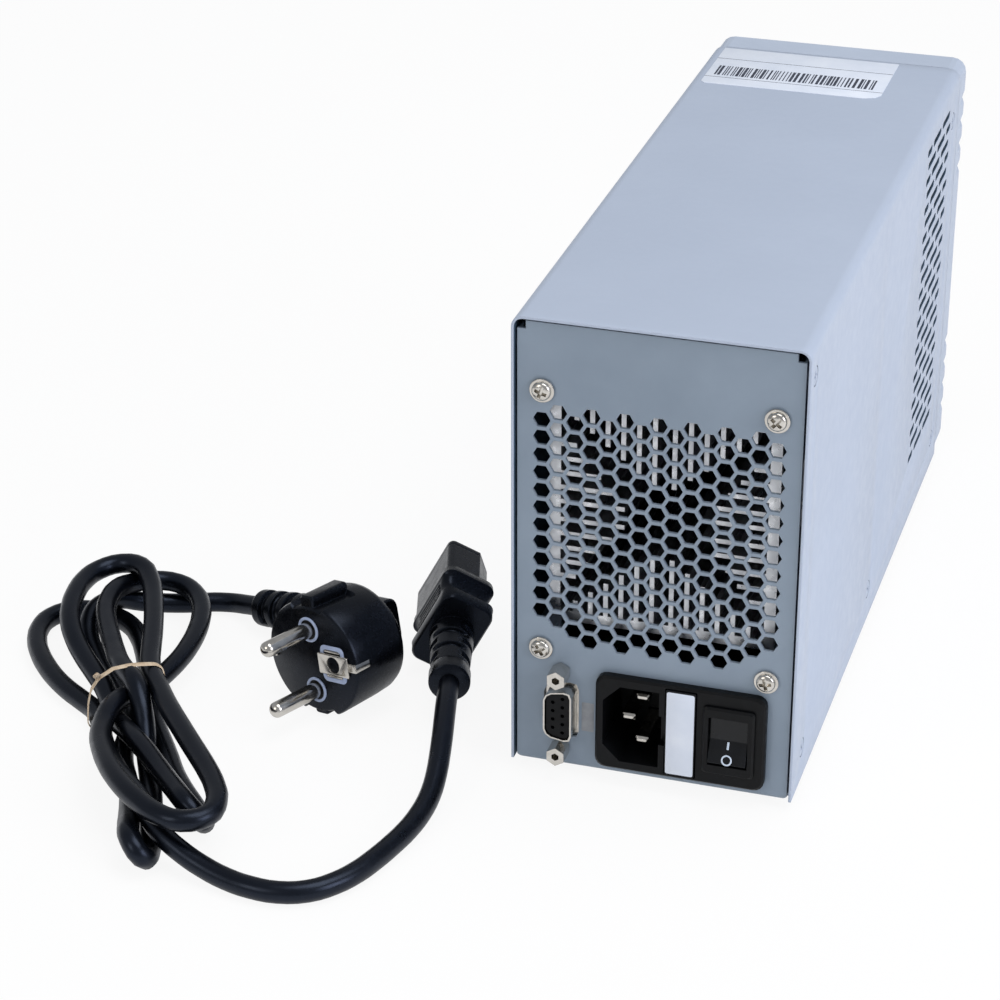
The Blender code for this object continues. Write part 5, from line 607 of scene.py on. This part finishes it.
def boot(start, length, root, tip, depth, lip, rows, **grooves):
    """A tapered strain relief along +Z from start, with rounded ends and grooves; sizes in mm."""
    sections = []
    count = int(length / BOOT_SLICE)
    for i in range(count + 1):
        along = length * i / count
        to_end = min(along, length - along, lip)
        eased = 0.9 * (lip - sqrt(max(lip ** 2 - (lip - to_end) ** 2, 0)))
        points = []
        for k in range(BOOT_STEPS):
            angle = 360.0 * k / BOOT_STEPS
            cut = groove(along, angle, length / (rows + 1), rows, **grooves)
            radius = root + (tip - root) * along / length - eased - depth * cut
            points.append((radius * cos(radians(angle)), radius * sin(radians(angle))))
        sections.append((points, start + along))
    return loft(sections)


# %% The connector's grip
CONNECTOR_HEADING = radians(-73.5)
CONNECTOR_ROLL = radians(28.6)
CORD_GAP = 0.3
REAR_FLANGE, WAIST, FRONT_FLANGE, NOSE, NOSE_END = 28.0, 33.0, 44.0, 47.0, 64.0
RIDGE_TOP, RIDGE_FOOT = 6.2, 6.6
RIDGE_HEIGHT, RIDGE_PITCH = 0.35, 1.6
LENGTH_STEPS = 44
forward = Vector((cos(CONNECTOR_HEADING), sin(CONNECTOR_HEADING), 0))
level = forward.cross(Vector((0, 0, 1)))
wide = level * -sin(CONNECTOR_ROLL) - Vector((0, 0, cos(CONNECTOR_ROLL)))
connector_frame = frame_at(spot(CORD_ROUTE[0]) + forward * CORD_GAP * MM, forward, wide)


def grip_outline(width, height, corner, ridge=0.0):
    """A rounded section with extra points on its two flat faces, where the grip ridges rise."""
    points = []
    for x, y in rounded(width, height, corner, 6):
        if points and points[-1][0] * x < 0 and points[-1][1] * y > 0:
            way = copysign(1, points[-1][0])
            top = y + copysign(ridge, y)
            points += [(way * RIDGE_FOOT, y), (way * RIDGE_TOP, top), (-way * RIDGE_TOP, top),
                       (-way * RIDGE_FOOT, y)]
        points.append((x, y))
    return points


def waist_section(along):
    """The grip between the flanges: hollow at its narrow sides, ribbed on its flat faces."""
    t = (along - WAIST) / (FRONT_FLANGE - WAIST)
    hollow = sin(pi * min(max(t, 0), 1)) ** 0.6
    ridge = RIDGE_HEIGHT if sin(tau * along / RIDGE_PITCH) > 0 and 0.08 < t < 0.92 else 0.0
    return grip_outline(25.0 - 7.0 * hollow, 17.0 - 1.4 * hollow, 3.0, ridge)


flange = grip_outline(25.0, 17.0, 3.5)
sections = [(grip_outline(24.0, 16.0, 3.2), REAR_FLANGE), (flange, REAR_FLANGE + 0.7),
            (flange, WAIST - 0.6)]
for i in range(LENGTH_STEPS + 1):
    along = WAIST + (FRONT_FLANGE - WAIST) * i / LENGTH_STEPS
    sections.append((waist_section(along), along))
sections += [(flange, FRONT_FLANGE + 0.5), (flange, NOSE - 0.5), (grip_outline(24.2, 16.2, 3.0), NOSE)]
grip = loft(sections)
print("grip sections:", len(sections))

# %% The connector on the instrument's end
NOSE_CORNER = 2.0
NOSE_CUT = 5.0
END_PLATE = 2.5


def nose_outline(shrink=0.0):
    """The insert end: two corners are cut so that it fits one way round."""
    half_wide, half_tall = 11.7 - shrink, 7.7 - shrink
    turns = [radians(90 - 18 * k) for k in range(6)]
    corner = [(half_wide - NOSE_CORNER + NOSE_CORNER * sin(t),
               half_tall - NOSE_CORNER + NOSE_CORNER * cos(t)) for t in turns]
    mirrored = [(-x, y) for x, y in corner[::-1]]
    cuts = [(-half_wide, NOSE_CUT - half_tall), (NOSE_CUT - half_wide, -half_tall),
            (half_wide - NOSE_CUT, -half_tall)]
    return [(half_wide, NOSE_CUT - half_tall)] + corner + mirrored + cuts


plate_start = NOSE_END - END_PLATE
nose = loft([(nose_outline(), along) for along in (NOSE - 0.1, plate_start - 0.1, plate_start)])
slots = [rounded(2.6, 5.0, 0.4, 2, middle) for middle in ((-7, 0), (7, 0), (0, -4.0))]
end_plate = shifted(sheet([nose_outline(0.02)] + slots, END_PLATE, 0.25), 0, 0, plate_start)
collar = lathe([(5.6, 0), (6.2, 0.5), (6.25, 5.0), (5.9, 6.0)])
grooved = boot(5.6, 22.6, root=5.7, tip=6.9, depth=1.2, lip=0.8, rows=5, width=2.0, sector=86.0, first=60.0,
               stagger=90.0)
connector_mesh = placed(joined([grip, nose, end_plate, collar, grooved]), connector_frame)
connector = dress("lead_connector", connector_mesh, "black_rubber", crease=40)
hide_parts("connector_body")

# %% [markdown]
# The plug is a round two-pin mains plug with its lead leaving sideways. Its body is a thick PVC moulding
# round a light-blue insert, which shows as collars round the pins and as a frame round the earth socket.
# A rib and a shallow flat above, and the same below, give grip and steer it into a wall socket.

# %% The plug's body
PLUG_HEADING = radians(66.3)
PLUG_TILT = radians(2.5)
PLUG_DIP = radians(10.6)
PLUG_FACE = (105.4, -11.3, 18.3)
FLAT_EDGE, FLAT_SLOPE = 6.4, 0.6
level = Vector((cos(PLUG_HEADING), sin(PLUG_HEADING), 0))
forward = level * cos(PLUG_TILT) + Vector((0, 0, sin(PLUG_TILT)))
away = level.cross(Vector((0, 0, 1))) * cos(PLUG_DIP) - Vector((0, 0, sin(PLUG_DIP)))
plug_frame = frame_at(spot(PLUG_FACE), forward, away)


def plug_outline(radius, tall, flat):
    """Round, with a shallow flat at the top and the bottom; the second axis is upright."""
    points = []
    for x, y in ring(1, 96):
        dip = flat * max(0.0, min(1.0, (FLAT_EDGE - abs(x) * radius) / FLAT_SLOPE))
        points.append((x * radius, y * tall - copysign(dip, y)))
    return points


PLUG_ROWS = ((0.0, 17.1, 17.1, 1.2), (-0.35, 17.7, 17.7, 1.4), (-1.0, 18.0, 18.0, 1.5),
             (-14.0, 17.6, 17.6, 1.5), (-15.0, 17.55, 17.55, 0.2), (-19.4, 17.3, 17.2, 0.0),
             (-21.0, 16.8, 16.6, 0.0), (-22.2, 15.6, 15.2, 0.0), (-23.6, 12.4, 12.2, 0.0),
             (-25.4, 9.6, 10.0, 0.0), (-27.6, 7.6, 8.2, 0.0))
plug_shell = loft([(plug_outline(wide, tall, flat), along) for along, wide, tall, flat in PLUG_ROWS])
plug_boot = boot(0.0, 42.2, root=7.4, tip=5.7, depth=1.3, lip=1.2, rows=7, width=2.6, sector=132.0,
                 first=45.0, stagger=0.0)
block = bar(((13.4, 14.0, 3.0, -10.6), (14.4, 15.0, 3.4, -10.0), (14.8, 15.4, 3.6, -1.0),
             (14.6, 14.8, 6.8, 5.0)), 6)
sideways = Matrix.Translation((8.0, 0, -28.0)) @ turned(2.4)
for part in (plug_boot, block):
    part.transform(sideways @ turned(90, "Y"))
RIB_ROWS = ((4.2, 3.6, 0.8, -0.4), (5.0, 4.4, 0.9, -1.0), (5.0, 4.4, 0.9, -14.6), (4.2, 3.4, 0.8, -15.6))
grip_ribs = [bar(RIB_ROWS, 4, (0, reach)) for reach in (-17.5, 15.4)]
plug = dress("mains_plug", placed(joined([plug_shell, plug_boot, block] + grip_ribs), plug_frame),
             "black_rubber", crease=32)
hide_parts("plug_body")

# %% The plug's insert
PIN_OFFSET = 9.5
COLLAR_INSIDE, COLLAR_OUTSIDE = 3.05, 3.9
EARTH_AT = (-8.7, 0)
CLIP_AT = (-9.1, 0)
SLEEVE_INSIDE, SLEEVE_OUTSIDE = 2.5, 2.75
pin_places = [(0, side * PIN_OFFSET) for side in (-1, 1)]
earth_opening = rounded(7.0, 8.8, 1.0, 4, EARTH_AT)
blue = [sheet([ring(COLLAR_OUTSIDE, 40, place), ring(COLLAR_INSIDE, 40, place)])
        for place in pin_places]
blue.append(sheet([rounded(9.4, 11.4, 1.8, 6, EARTH_AT), earth_opening]))
insert = dress("plug_insert", placed(joined(blue), plug_frame), "plug_insert")

# %% The plug's earth contact, and the floors behind the openings
BOW_AT, LEG_AT, RAIL_AT = 16.2, 17.7, 3.9
CLIP_LIFT = 0.45
clip = sheet([rounded(12.0, 6.5, 0.4, 3, CLIP_AT), ring(SLEEVE_INSIDE, 32, CLIP_AT)])
shifted(clip, 0, 0, CLIP_LIFT)
sleeve = lathe([(SLEEVE_OUTSIDE, -8.0), (SLEEVE_OUTSIDE, 0.6), (SLEEVE_INSIDE, 0.62),
                (SLEEVE_INSIDE, -8.0)], 32, caps=(False, False))
shifted(sleeve, *CLIP_AT, 0)
springs = [sheet([rounded(6.2, 0.6, 0.2, 2, (EARTH_AT[0], side * RAIL_AT))], 0.5, 0.1) for side in (-1, 1)]
for side in (-1, 1):
    springs.append(sheet([rounded(3.0, 2.6, 0.3, 3, (side * BOW_AT, 0))]))
    springs.append(bar(((0.6, 2.2, 0.2, -5.4), (0.6, 2.6, 0.2, 0.4)), 2, (side * LEG_AT, 0)))
earth = dress("plug_earth_clip", placed(joined([clip, sleeve] + springs), plug_frame), "nickel_plate")
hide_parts("plug_earth_contact")
floors = [sheet([earth_opening, ring(SLEEVE_OUTSIDE, 24, CLIP_AT)], 0.2, 0.05)]
floors += [sheet([ring(COLLAR_INSIDE, 32, place)], 0.2, 0.05) for place in pin_places]
pocket = dress("plug_pocket", placed(joined(floors), plug_frame), "black_moulding")

# %% The plug's pins
PIN_RADIUS, PIN_LENGTH, PIN_TIP = 2.4, 19.0, 2.1
tip = [(PIN_RADIUS * cos(radians(a)), PIN_LENGTH - PIN_TIP + PIN_TIP * sin(radians(a)))
       for a in range(0, 90, 9)]
profile = [(PIN_RADIUS - 0.05, 0.05), (PIN_RADIUS, 0.4)] + tip + [(0.05, PIN_LENGTH)]
pins = [shifted(lathe(profile, 48), *place, 0) for place in pin_places]
plug_pins = dress("plug_pins", placed(joined(pins), plug_frame), "nickel_plate", crease=50)
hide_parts("plug_pin_1", "plug_pin_2")

# %% [markdown]
# A twist tie holds the hank at its waist: a thin strip of waxed paper with a wire in it, wrapped once round
# the bundle, its two ends twisted together into a short tail.

# %% Strips and outlines for the tie
TIE_MIDDLE = (155.5, 11.5, 0)
TIE_HEADING = radians(34.2)
across = Vector((cos(TIE_HEADING), sin(TIE_HEADING), 0))
tie_frame = frame_at(spot(TIE_MIDDLE), across.cross(Vector((0, 0, 1))), across)


def strip(points, normals, width, thick):
    """A flat strip along points, lying square to normals; all in mm."""
    rows = []
    for i, (point, out) in enumerate(zip(points, normals)):
        run = (points[min(i + 1, len(points) - 1)] - points[max(i - 1, 0)]).normalized()
        aside = run.cross(out).normalized()
        bulge = out.normalized() * thick / 2
        corners = (aside * width / 2 - bulge * 0.3, aside * width / 4 + bulge * 0.5, bulge,
                   aside * -width / 4 + bulge * 0.5, aside * -width / 2 - bulge * 0.3, -bulge)
        rows.append([point + corner for corner in corners])
    return skinned(rows)


def hull(points):
    """The convex outline round flat points, anticlockwise."""
    points = sorted(points)
    chains = []
    for run in (points, points[::-1]):
        chain = []
        for x, y in run:
            while len(chain) > 1 and ((chain[-1][0] - chain[-2][0]) * (y - chain[-2][1])
                                      - (chain[-1][1] - chain[-2][1]) * (x - chain[-2][0])) <= 0:
                chain.pop()
            chain.append((x, y))
        chains.append(chain[:-1])
    return chains[0] + chains[1]


def crossings():
    """Where the lead passes through the tie's plane, as (across, up) in mm."""
    flat = tie_frame.inverted()
    found = []
    route = [flat @ spot(point) / MM for point in CORD_ROUTE]
    for a, b in zip(route, route[1:]):
        if a.z * b.z < 0 and abs(a.x) < 20:
            meet = a.lerp(b, a.z / (a.z - b.z))
            found.append((meet.x, meet.y))
    return found


# %% The twist tie
SKIN = CORD_RADIUS + 0.25
SLACK = ((9.8, 0.6), (11.3, 9.5), (10.3, 14.5), (7.8, 18.2), (3.5, 20.4))
LOOP_STEPS = 72
TAIL_ROOT = (7.9, 18.0)
TAIL_STEPS = 24
TAIL_SPIN = 9.0
strands = crossings()
touched = [point for strand in strands for point in ring(SKIN, 24, strand)]
around = hull(touched + list(SLACK))
middle_x = sum(x for x, _ in strands) / len(strands)
middle_y = sum(y for _, y in strands) / len(strands)
total = len(around)
lengths = [dist(around[i], around[(i + 1) % total]) for i in range(total)]
loop, outward = [], []
for i in range(LOOP_STEPS + 1):
    way = (i % LOOP_STEPS) / LOOP_STEPS
    want = sum(lengths) * way
    k = 0
    while want > lengths[k]:
        want -= lengths[k]
        k += 1
    t = want / lengths[k]
    x = around[k][0] * (1 - t) + around[(k + 1) % total][0] * t
    y = max(around[k][1] * (1 - t) + around[(k + 1) % total][1] * t, 0.3)
    loop.append(Vector((x, y, 0.8 * sin(2.4 * tau * way))))
    outward.append(Vector((x - middle_x, y - middle_y, 0)).normalized())
print("strands in the tie:", len(strands), "loop:", round(sum(lengths)), "mm")
strips = [strip(loop, outward, 2.2, 0.4)]
for side in (0, pi):
    twist, facing = [], []
    for i in range(TAIL_STEPS + 1):
        t = i / TAIL_STEPS
        spin = side + TAIL_SPIN * t
        centre = Vector((TAIL_ROOT[0] + 1.2 * t, TAIL_ROOT[1] + 3.0 * t, -0.4 - 3.6 * t))
        out = Vector((0.3 * cos(spin), cos(spin), sin(spin)))
        twist.append(centre + out * 0.45)
        facing.append(out)
    strips.append(strip(twist, facing, 1.9, 0.4))
tie = dress("twist_tie", placed(joined(strips), tie_frame), "tie_paper")
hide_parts("cord_tie")

# %% [markdown]
# The cover is cut flat from thin sheet steel, punched, and folded twice into an inverted U. The script
# does the same: it fills a flat pattern with holes, cuts it along the fold lines, and then bends each point
# round. That keeps the slots' round ends true and gives the fold its real radius.

# %% The cover's flat pattern
SHEET, SHEET_EASE = 0.8, 0.12
HALF_WIDTH = 41.0
COVER_LOW, COVER_TOP = 3.2, 142.0
COVER_LENGTH = 229.3
BEND = 3.3
MID_BEND = BEND - SHEET / 2
SIDE_RUN = COVER_TOP - BEND - COVER_LOW
ARC_RUN = MID_BEND * pi / 2
TOP_RUN = 2 * (HALF_WIDTH - BEND)
PATTERN = 2 * (SIDE_RUN + ARC_RUN) + TOP_RUN
SLOT_ROWS, SLOT_PITCH, SLOT_DROP, SLOT_WIDTH = 23, 4.8, 8.8, 2.3
SLOTS_IN_EVEN_ROWS = ((172.0, 180.0), (182.2, 196.0), (198.2, 212.0))
SLOTS_IN_ODD_ROWS = ((174.2, 188.0), (190.2, 204.0), (206.2, 214.0))
SCREWS = ((6.0, 9.5), (12.5, 128.0), (108.5, 128.0), (219.0, 128.0), (219.0, 14.0))
SCREW_HOLE = 2.85


def stadium(start, end, middle, width):
    """A slot with round ends, long in the second axis."""
    radius = width / 2
    points = []
    for hub, first in ((end - radius, 0), (start + radius, 180)):
        for i in range(9):
            angle = radians(first + 180 * i / 8)
            points.append((middle + radius * cos(angle), hub + radius * sin(angle)))
    return points


def along_pattern(side, drop):
    """How far round the flat pattern a place lies that is so far below the top, on one side."""
    rise = COVER_TOP - drop - COVER_LOW
    return rise if side < 0 else PATTERN - rise


holes = []
for side in (-1, 1):
    for row in range(SLOT_ROWS):
        middle = along_pattern(side, SLOT_DROP + SLOT_PITCH * row)
        for start, end in (SLOTS_IN_ODD_ROWS if row % 2 else SLOTS_IN_EVEN_ROWS):
            holes.append(stadium(start, end, middle, SLOT_WIDTH))
    for depth, drop in SCREWS:
        holes.append(ring(SCREW_HOLE, 28, (along_pattern(side, drop), depth)))
blank = [(0, 0), (PATTERN, 0), (PATTERN, COVER_LENGTH), (0, COVER_LENGTH)]
flat = sheet([blank] + holes, SHEET, SHEET_EASE)
print("flat pattern:", round(PATTERN, 1), "x", COVER_LENGTH, "mm with", len(holes), "holes")


# %% Fold the cover
FOLD_STEPS = 8
INNER_FACE = 0.05
RIM = 1.0


def folded(point):
    """Where a point of the flat pattern goes: first axis round the section, then forward, then outward."""
    run, depth, out = point.x, point.y, point.z - SHEET / 2
    mirror = 1 if run <= PATTERN / 2 else -1
    run = run if mirror > 0 else PATTERN - run
    if run <= SIDE_RUN:
        x, z = -(HALF_WIDTH - SHEET / 2) - out, COVER_LOW + run
    elif run <= SIDE_RUN + ARC_RUN:
        angle = pi - (run - SIDE_RUN) / MID_BEND
        x = -(HALF_WIDTH - BEND) + (MID_BEND + out) * cos(angle)
        z = COVER_TOP - BEND + (MID_BEND + out) * sin(angle)
    else:
        x = -(HALF_WIDTH - BEND) + (run - SIDE_RUN - ARC_RUN)
        z = COVER_TOP - SHEET / 2 + out
    return Vector((mirror * x, COVER_REAR - depth, z))


bm = bmesh.new()
bm.from_mesh(flat)
for fold in (SIDE_RUN, PATTERN - SIDE_RUN - ARC_RUN):
    for i in range(FOLD_STEPS + 1):
        cut = Vector((fold + ARC_RUN * i / FOLD_STEPS, 0, 0))
        everything = list(bm.verts) + list(bm.edges) + list(bm.faces)
        bmesh.ops.bisect_plane(bm, geom=everything, dist=1e-5, plane_co=cut, plane_no=(1, 0, 0))
# Faces on the inside of the cover and on the walls of its slots are marked for the dark painted shade.
painted_shade_faces = []
for face in bm.faces:
    middle = face.calc_center_median()
    to_rim = min(middle.x, PATTERN - middle.x, middle.y, COVER_LENGTH - middle.y)
    painted_shade_faces.append(middle.z < INNER_FACE or (to_rim > RIM and middle.z < SHEET - SHEET_EASE - 0.03))
for vert in bm.verts:
    vert.co = folded(vert.co)
bmesh.ops.recalc_face_normals(bm, faces=bm.faces)
as_mesh(bm, flat)
cover = dress("folded_cover", placed(flat), "powder_coated_steel", crease=30)
# The cover's second material slot holds the painted shade for its inside and its slot walls.
flat.materials.append(MATERIALS["slot_shade_paint"])
for face, dark in zip(flat.polygons, painted_shade_faces):
    face.material_index = 1 if dark else 0
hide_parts("cover")
# Prints how many faces carry the dark painted shade.
print("faces in painted shade:", sum(painted_shade_faces))

# %% [markdown]
# Ten countersunk screws hold the cover. Their heads are painted with it and sit a hair below the surface.
# Each head is a plate with a cross-shaped hole over a floor, for the driver recess.


# %% Cover screws
HEAD_RADIUS, HEAD_THICK, HEAD_SUNK = 2.65, 0.8, 0.9


def cross(reach, half):
    """A cross-shaped outline for a driver recess."""
    return [(half, half), (half, reach), (-half, reach), (-half, half), (-reach, half), (-reach, -half),
            (-half, -half), (-half, -reach), (half, -reach), (half, -half), (reach, -half), (reach, half)]


heads = []
for side in (-1, 1):
    for number, (depth, drop) in enumerate(SCREWS):
        head = sheet([ring(HEAD_RADIUS, 36), cross(1.45, 0.36)], HEAD_THICK, 0.14)
        below = lathe([(2.4, -0.9), (2.6, 0.05)], 24)
        stop = turned(17 + 31 * number + 13 * side)
        seat = Vector((side * (HALF_WIDTH - HEAD_SUNK), COVER_REAR - depth, COVER_TOP - drop)) * MM
        facing = frame_at(seat, Vector((side, 0, 0)), Vector((0, 0, 1)))
        heads.append(placed(joined([head, below]), facing @ stop))
dress("cover_screws", joined(heads), "powder_coated_steel", crease=30)

# %% [markdown]
# Four nickel-plated pan-head screws with plain washers hold the tunnel to the rear panel. The driver recess
# is cut with a Boolean, because a cross that tapers into a domed head is hard to draw face by face.


# %% Panel screws
def carved(mesh, cutter):
    """The mesh with another mesh cut out of it."""
    pair = [added("blank", mesh), added("cutter", cutter)]
    cut = pair[0].modifiers.new("cut", "BOOLEAN")
    cut.operation = "DIFFERENCE"
    cut.object = pair[1]
    made = settled(pair[0])
    for holder in pair:
        bpy.data.objects.remove(holder)
    return made


def recess(reach, half, deep, top):
    """A tapering cross for the driver."""
    wide = cross(reach, half)
    return loft([([(x * 0.55, y * 0.55) for x, y in wide], top - deep), (wide, top + 0.3)])


PANEL_FACE = 129.65
WASHER = ((1.5, 0), (3.3, 0), (3.5, 0.12), (3.5, 0.48), (3.35, 0.6), (1.5, 0.6))
SCREW_STOPS = (12, 50, 33, 71)
DOME = [(2.75 * cos(radians(a)) ** 0.6, 0.7 + 1.35 * sin(radians(a)))
        for a in range(0, 88, 8)]
for number, stop in enumerate(SCREW_STOPS, 1):
    low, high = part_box("panel_screw_%d" % number)
    seat = Vector(((low.x + high.x) / 2, PANEL_FACE * MM, (low.z + high.z) / 2))
    head = carved(lathe([(2.7, 0.62)] + DOME + [(0.05, 2.06)], 48), recess(1.9, 0.52, 1.7, 1.9))
    upright = frame_at(seat, Vector((0, 1, 0)), Vector((-1, 0, 0)))
    spin = turned(stop)
    screw = dress("pan_head_screw_%d" % number, placed(joined([head, lathe(WASHER, 48)]), upright @ spin),
                  "nickel_plate", crease=32)
    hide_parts("panel_screw_%d" % number)

# %% [markdown]
# A white vinyl label sticks to the top near the front, with one corner cut. It carries ruled lines and a
# made-up row of bars. The bars come from a seeded draw, so every run gives the same ones.

# %% The label on the top
LABEL_LEFT, LABEL_RIGHT = 37.0, -21.0
LABEL_REAR, LABEL_FRONT = 193.0, 228.0
LABEL_THICK = 0.12
BARS_START, BARS_END = 6.5, 58.0
BARS_REAR, BARS_FRONT = 201.5, 210.5
RULES = (199.5, 217.5)
RULE_HALF = 0.12


def on_top(rise):
    """A frame on the cover's top at its rear edge, from which Y runs backwards."""
    return Matrix.Translation(Vector((0, COVER_REAR, COVER_TOP + rise)) * MM)


def block_between(left, right, rear, front):
    """A rectangle on the top, by its depths from the rear edge."""
    return [(left, -front), (right, -front), (right, -rear), (left, -rear)]


label_outline = [(LABEL_RIGHT + 5, -LABEL_REAR), (LABEL_LEFT - 1.5, -LABEL_REAR),
                 (LABEL_LEFT, -LABEL_REAR - 1.5), (LABEL_LEFT, -LABEL_FRONT), (LABEL_RIGHT, -LABEL_FRONT),
                 (LABEL_RIGHT, -LABEL_REAR - 4), (LABEL_RIGHT + 1.5, -LABEL_REAR - 1.5)]
dress("top_label", placed(sheet([label_outline], LABEL_THICK, 0.03), on_top(0)), "label_vinyl")
rng = random.Random(7)
printed = []
edge = BARS_START
while edge < BARS_END:
    width = rng.choice((0.35, 0.35, 0.6, 0.9))
    x = HALF_WIDTH - edge - width / 2
    printed.append(block_between(x - width / 2, x + width / 2, BARS_REAR, BARS_FRONT))
    edge += width + rng.choice((0.35, 0.5, 0.8))
for depth in RULES:
    printed.append(block_between(LABEL_RIGHT, LABEL_LEFT, depth - RULE_HALF, depth + RULE_HALF))
print_mesh = joined([sheet([outline], 0.03, 0.005) for outline in printed])
dress("label_bars", placed(print_mesh, on_top(LABEL_THICK)), "print_ink")
print("bars and rules on the label:", len(printed))

# %% [markdown]
# The rear panel keeps its small plain plates: a white one on the fuse drawer and a pale one beside the
# serial connector. The rocker carries the two usual marks, a line for on and a ring for off. A ray shot at
# the CAD piece finds its surface, so each mark lies on the real face and moves with it.


# %% Plates and marks at the rear
PLATE_THICK = 0.05
PORT_PLATE_AT = (18.6, 20.0)
ROCKER_X = -22.95
ON_MARK_Z, OFF_MARK_Z = 19.9, 16.0


def on_face(node_name, x, z):
    """A frame where a ray from behind meets a CAD piece, at x and z in mm: right, up, outward."""
    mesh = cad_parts[node_name].data
    tree = BVHTree.FromPolygons([v.co for v in mesh.vertices], [p.vertices for p in mesh.polygons])
    point, normal = tree.ray_cast(Vector((x * MM, 0.3, z * MM)), Vector((0, -1, 0)))[:2]
    return frame_at(point, normal, Vector((-1, 0, 0)))


def plate(outlines, matrix):
    """A thin printed plate."""
    return placed(sheet(outlines, PLATE_THICK, 0.01), matrix)


low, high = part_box("fuse_drawer")
drawer_face = on_face("fuse_drawer", (low.x + high.x) / 2 / MM, (low.z + high.z) / 2 / MM)
dress("drawer_label", placed(sheet([rounded(8.0, 26.6, 0.6, 3)], LABEL_THICK, 0.03), drawer_face),
      "label_vinyl", "drawer")
port_plate = plate([rounded(3.6, 9.4, 0.2, 2)], on_face("chassis", *PORT_PLATE_AT))
dress("port_plate", port_plate, "grey_ink")
on_mark = plate([rounded(0.6, 2.2, 0.1, 2)], on_face("rocker", ROCKER_X, ON_MARK_Z))
off_mark = plate([ring(1.55, 32), ring(1.1, 32)], on_face("rocker", ROCKER_X, OFF_MARK_Z))
dress("rocker_marks", joined([on_mark, off_mark]), "pale_ink", "rocker")
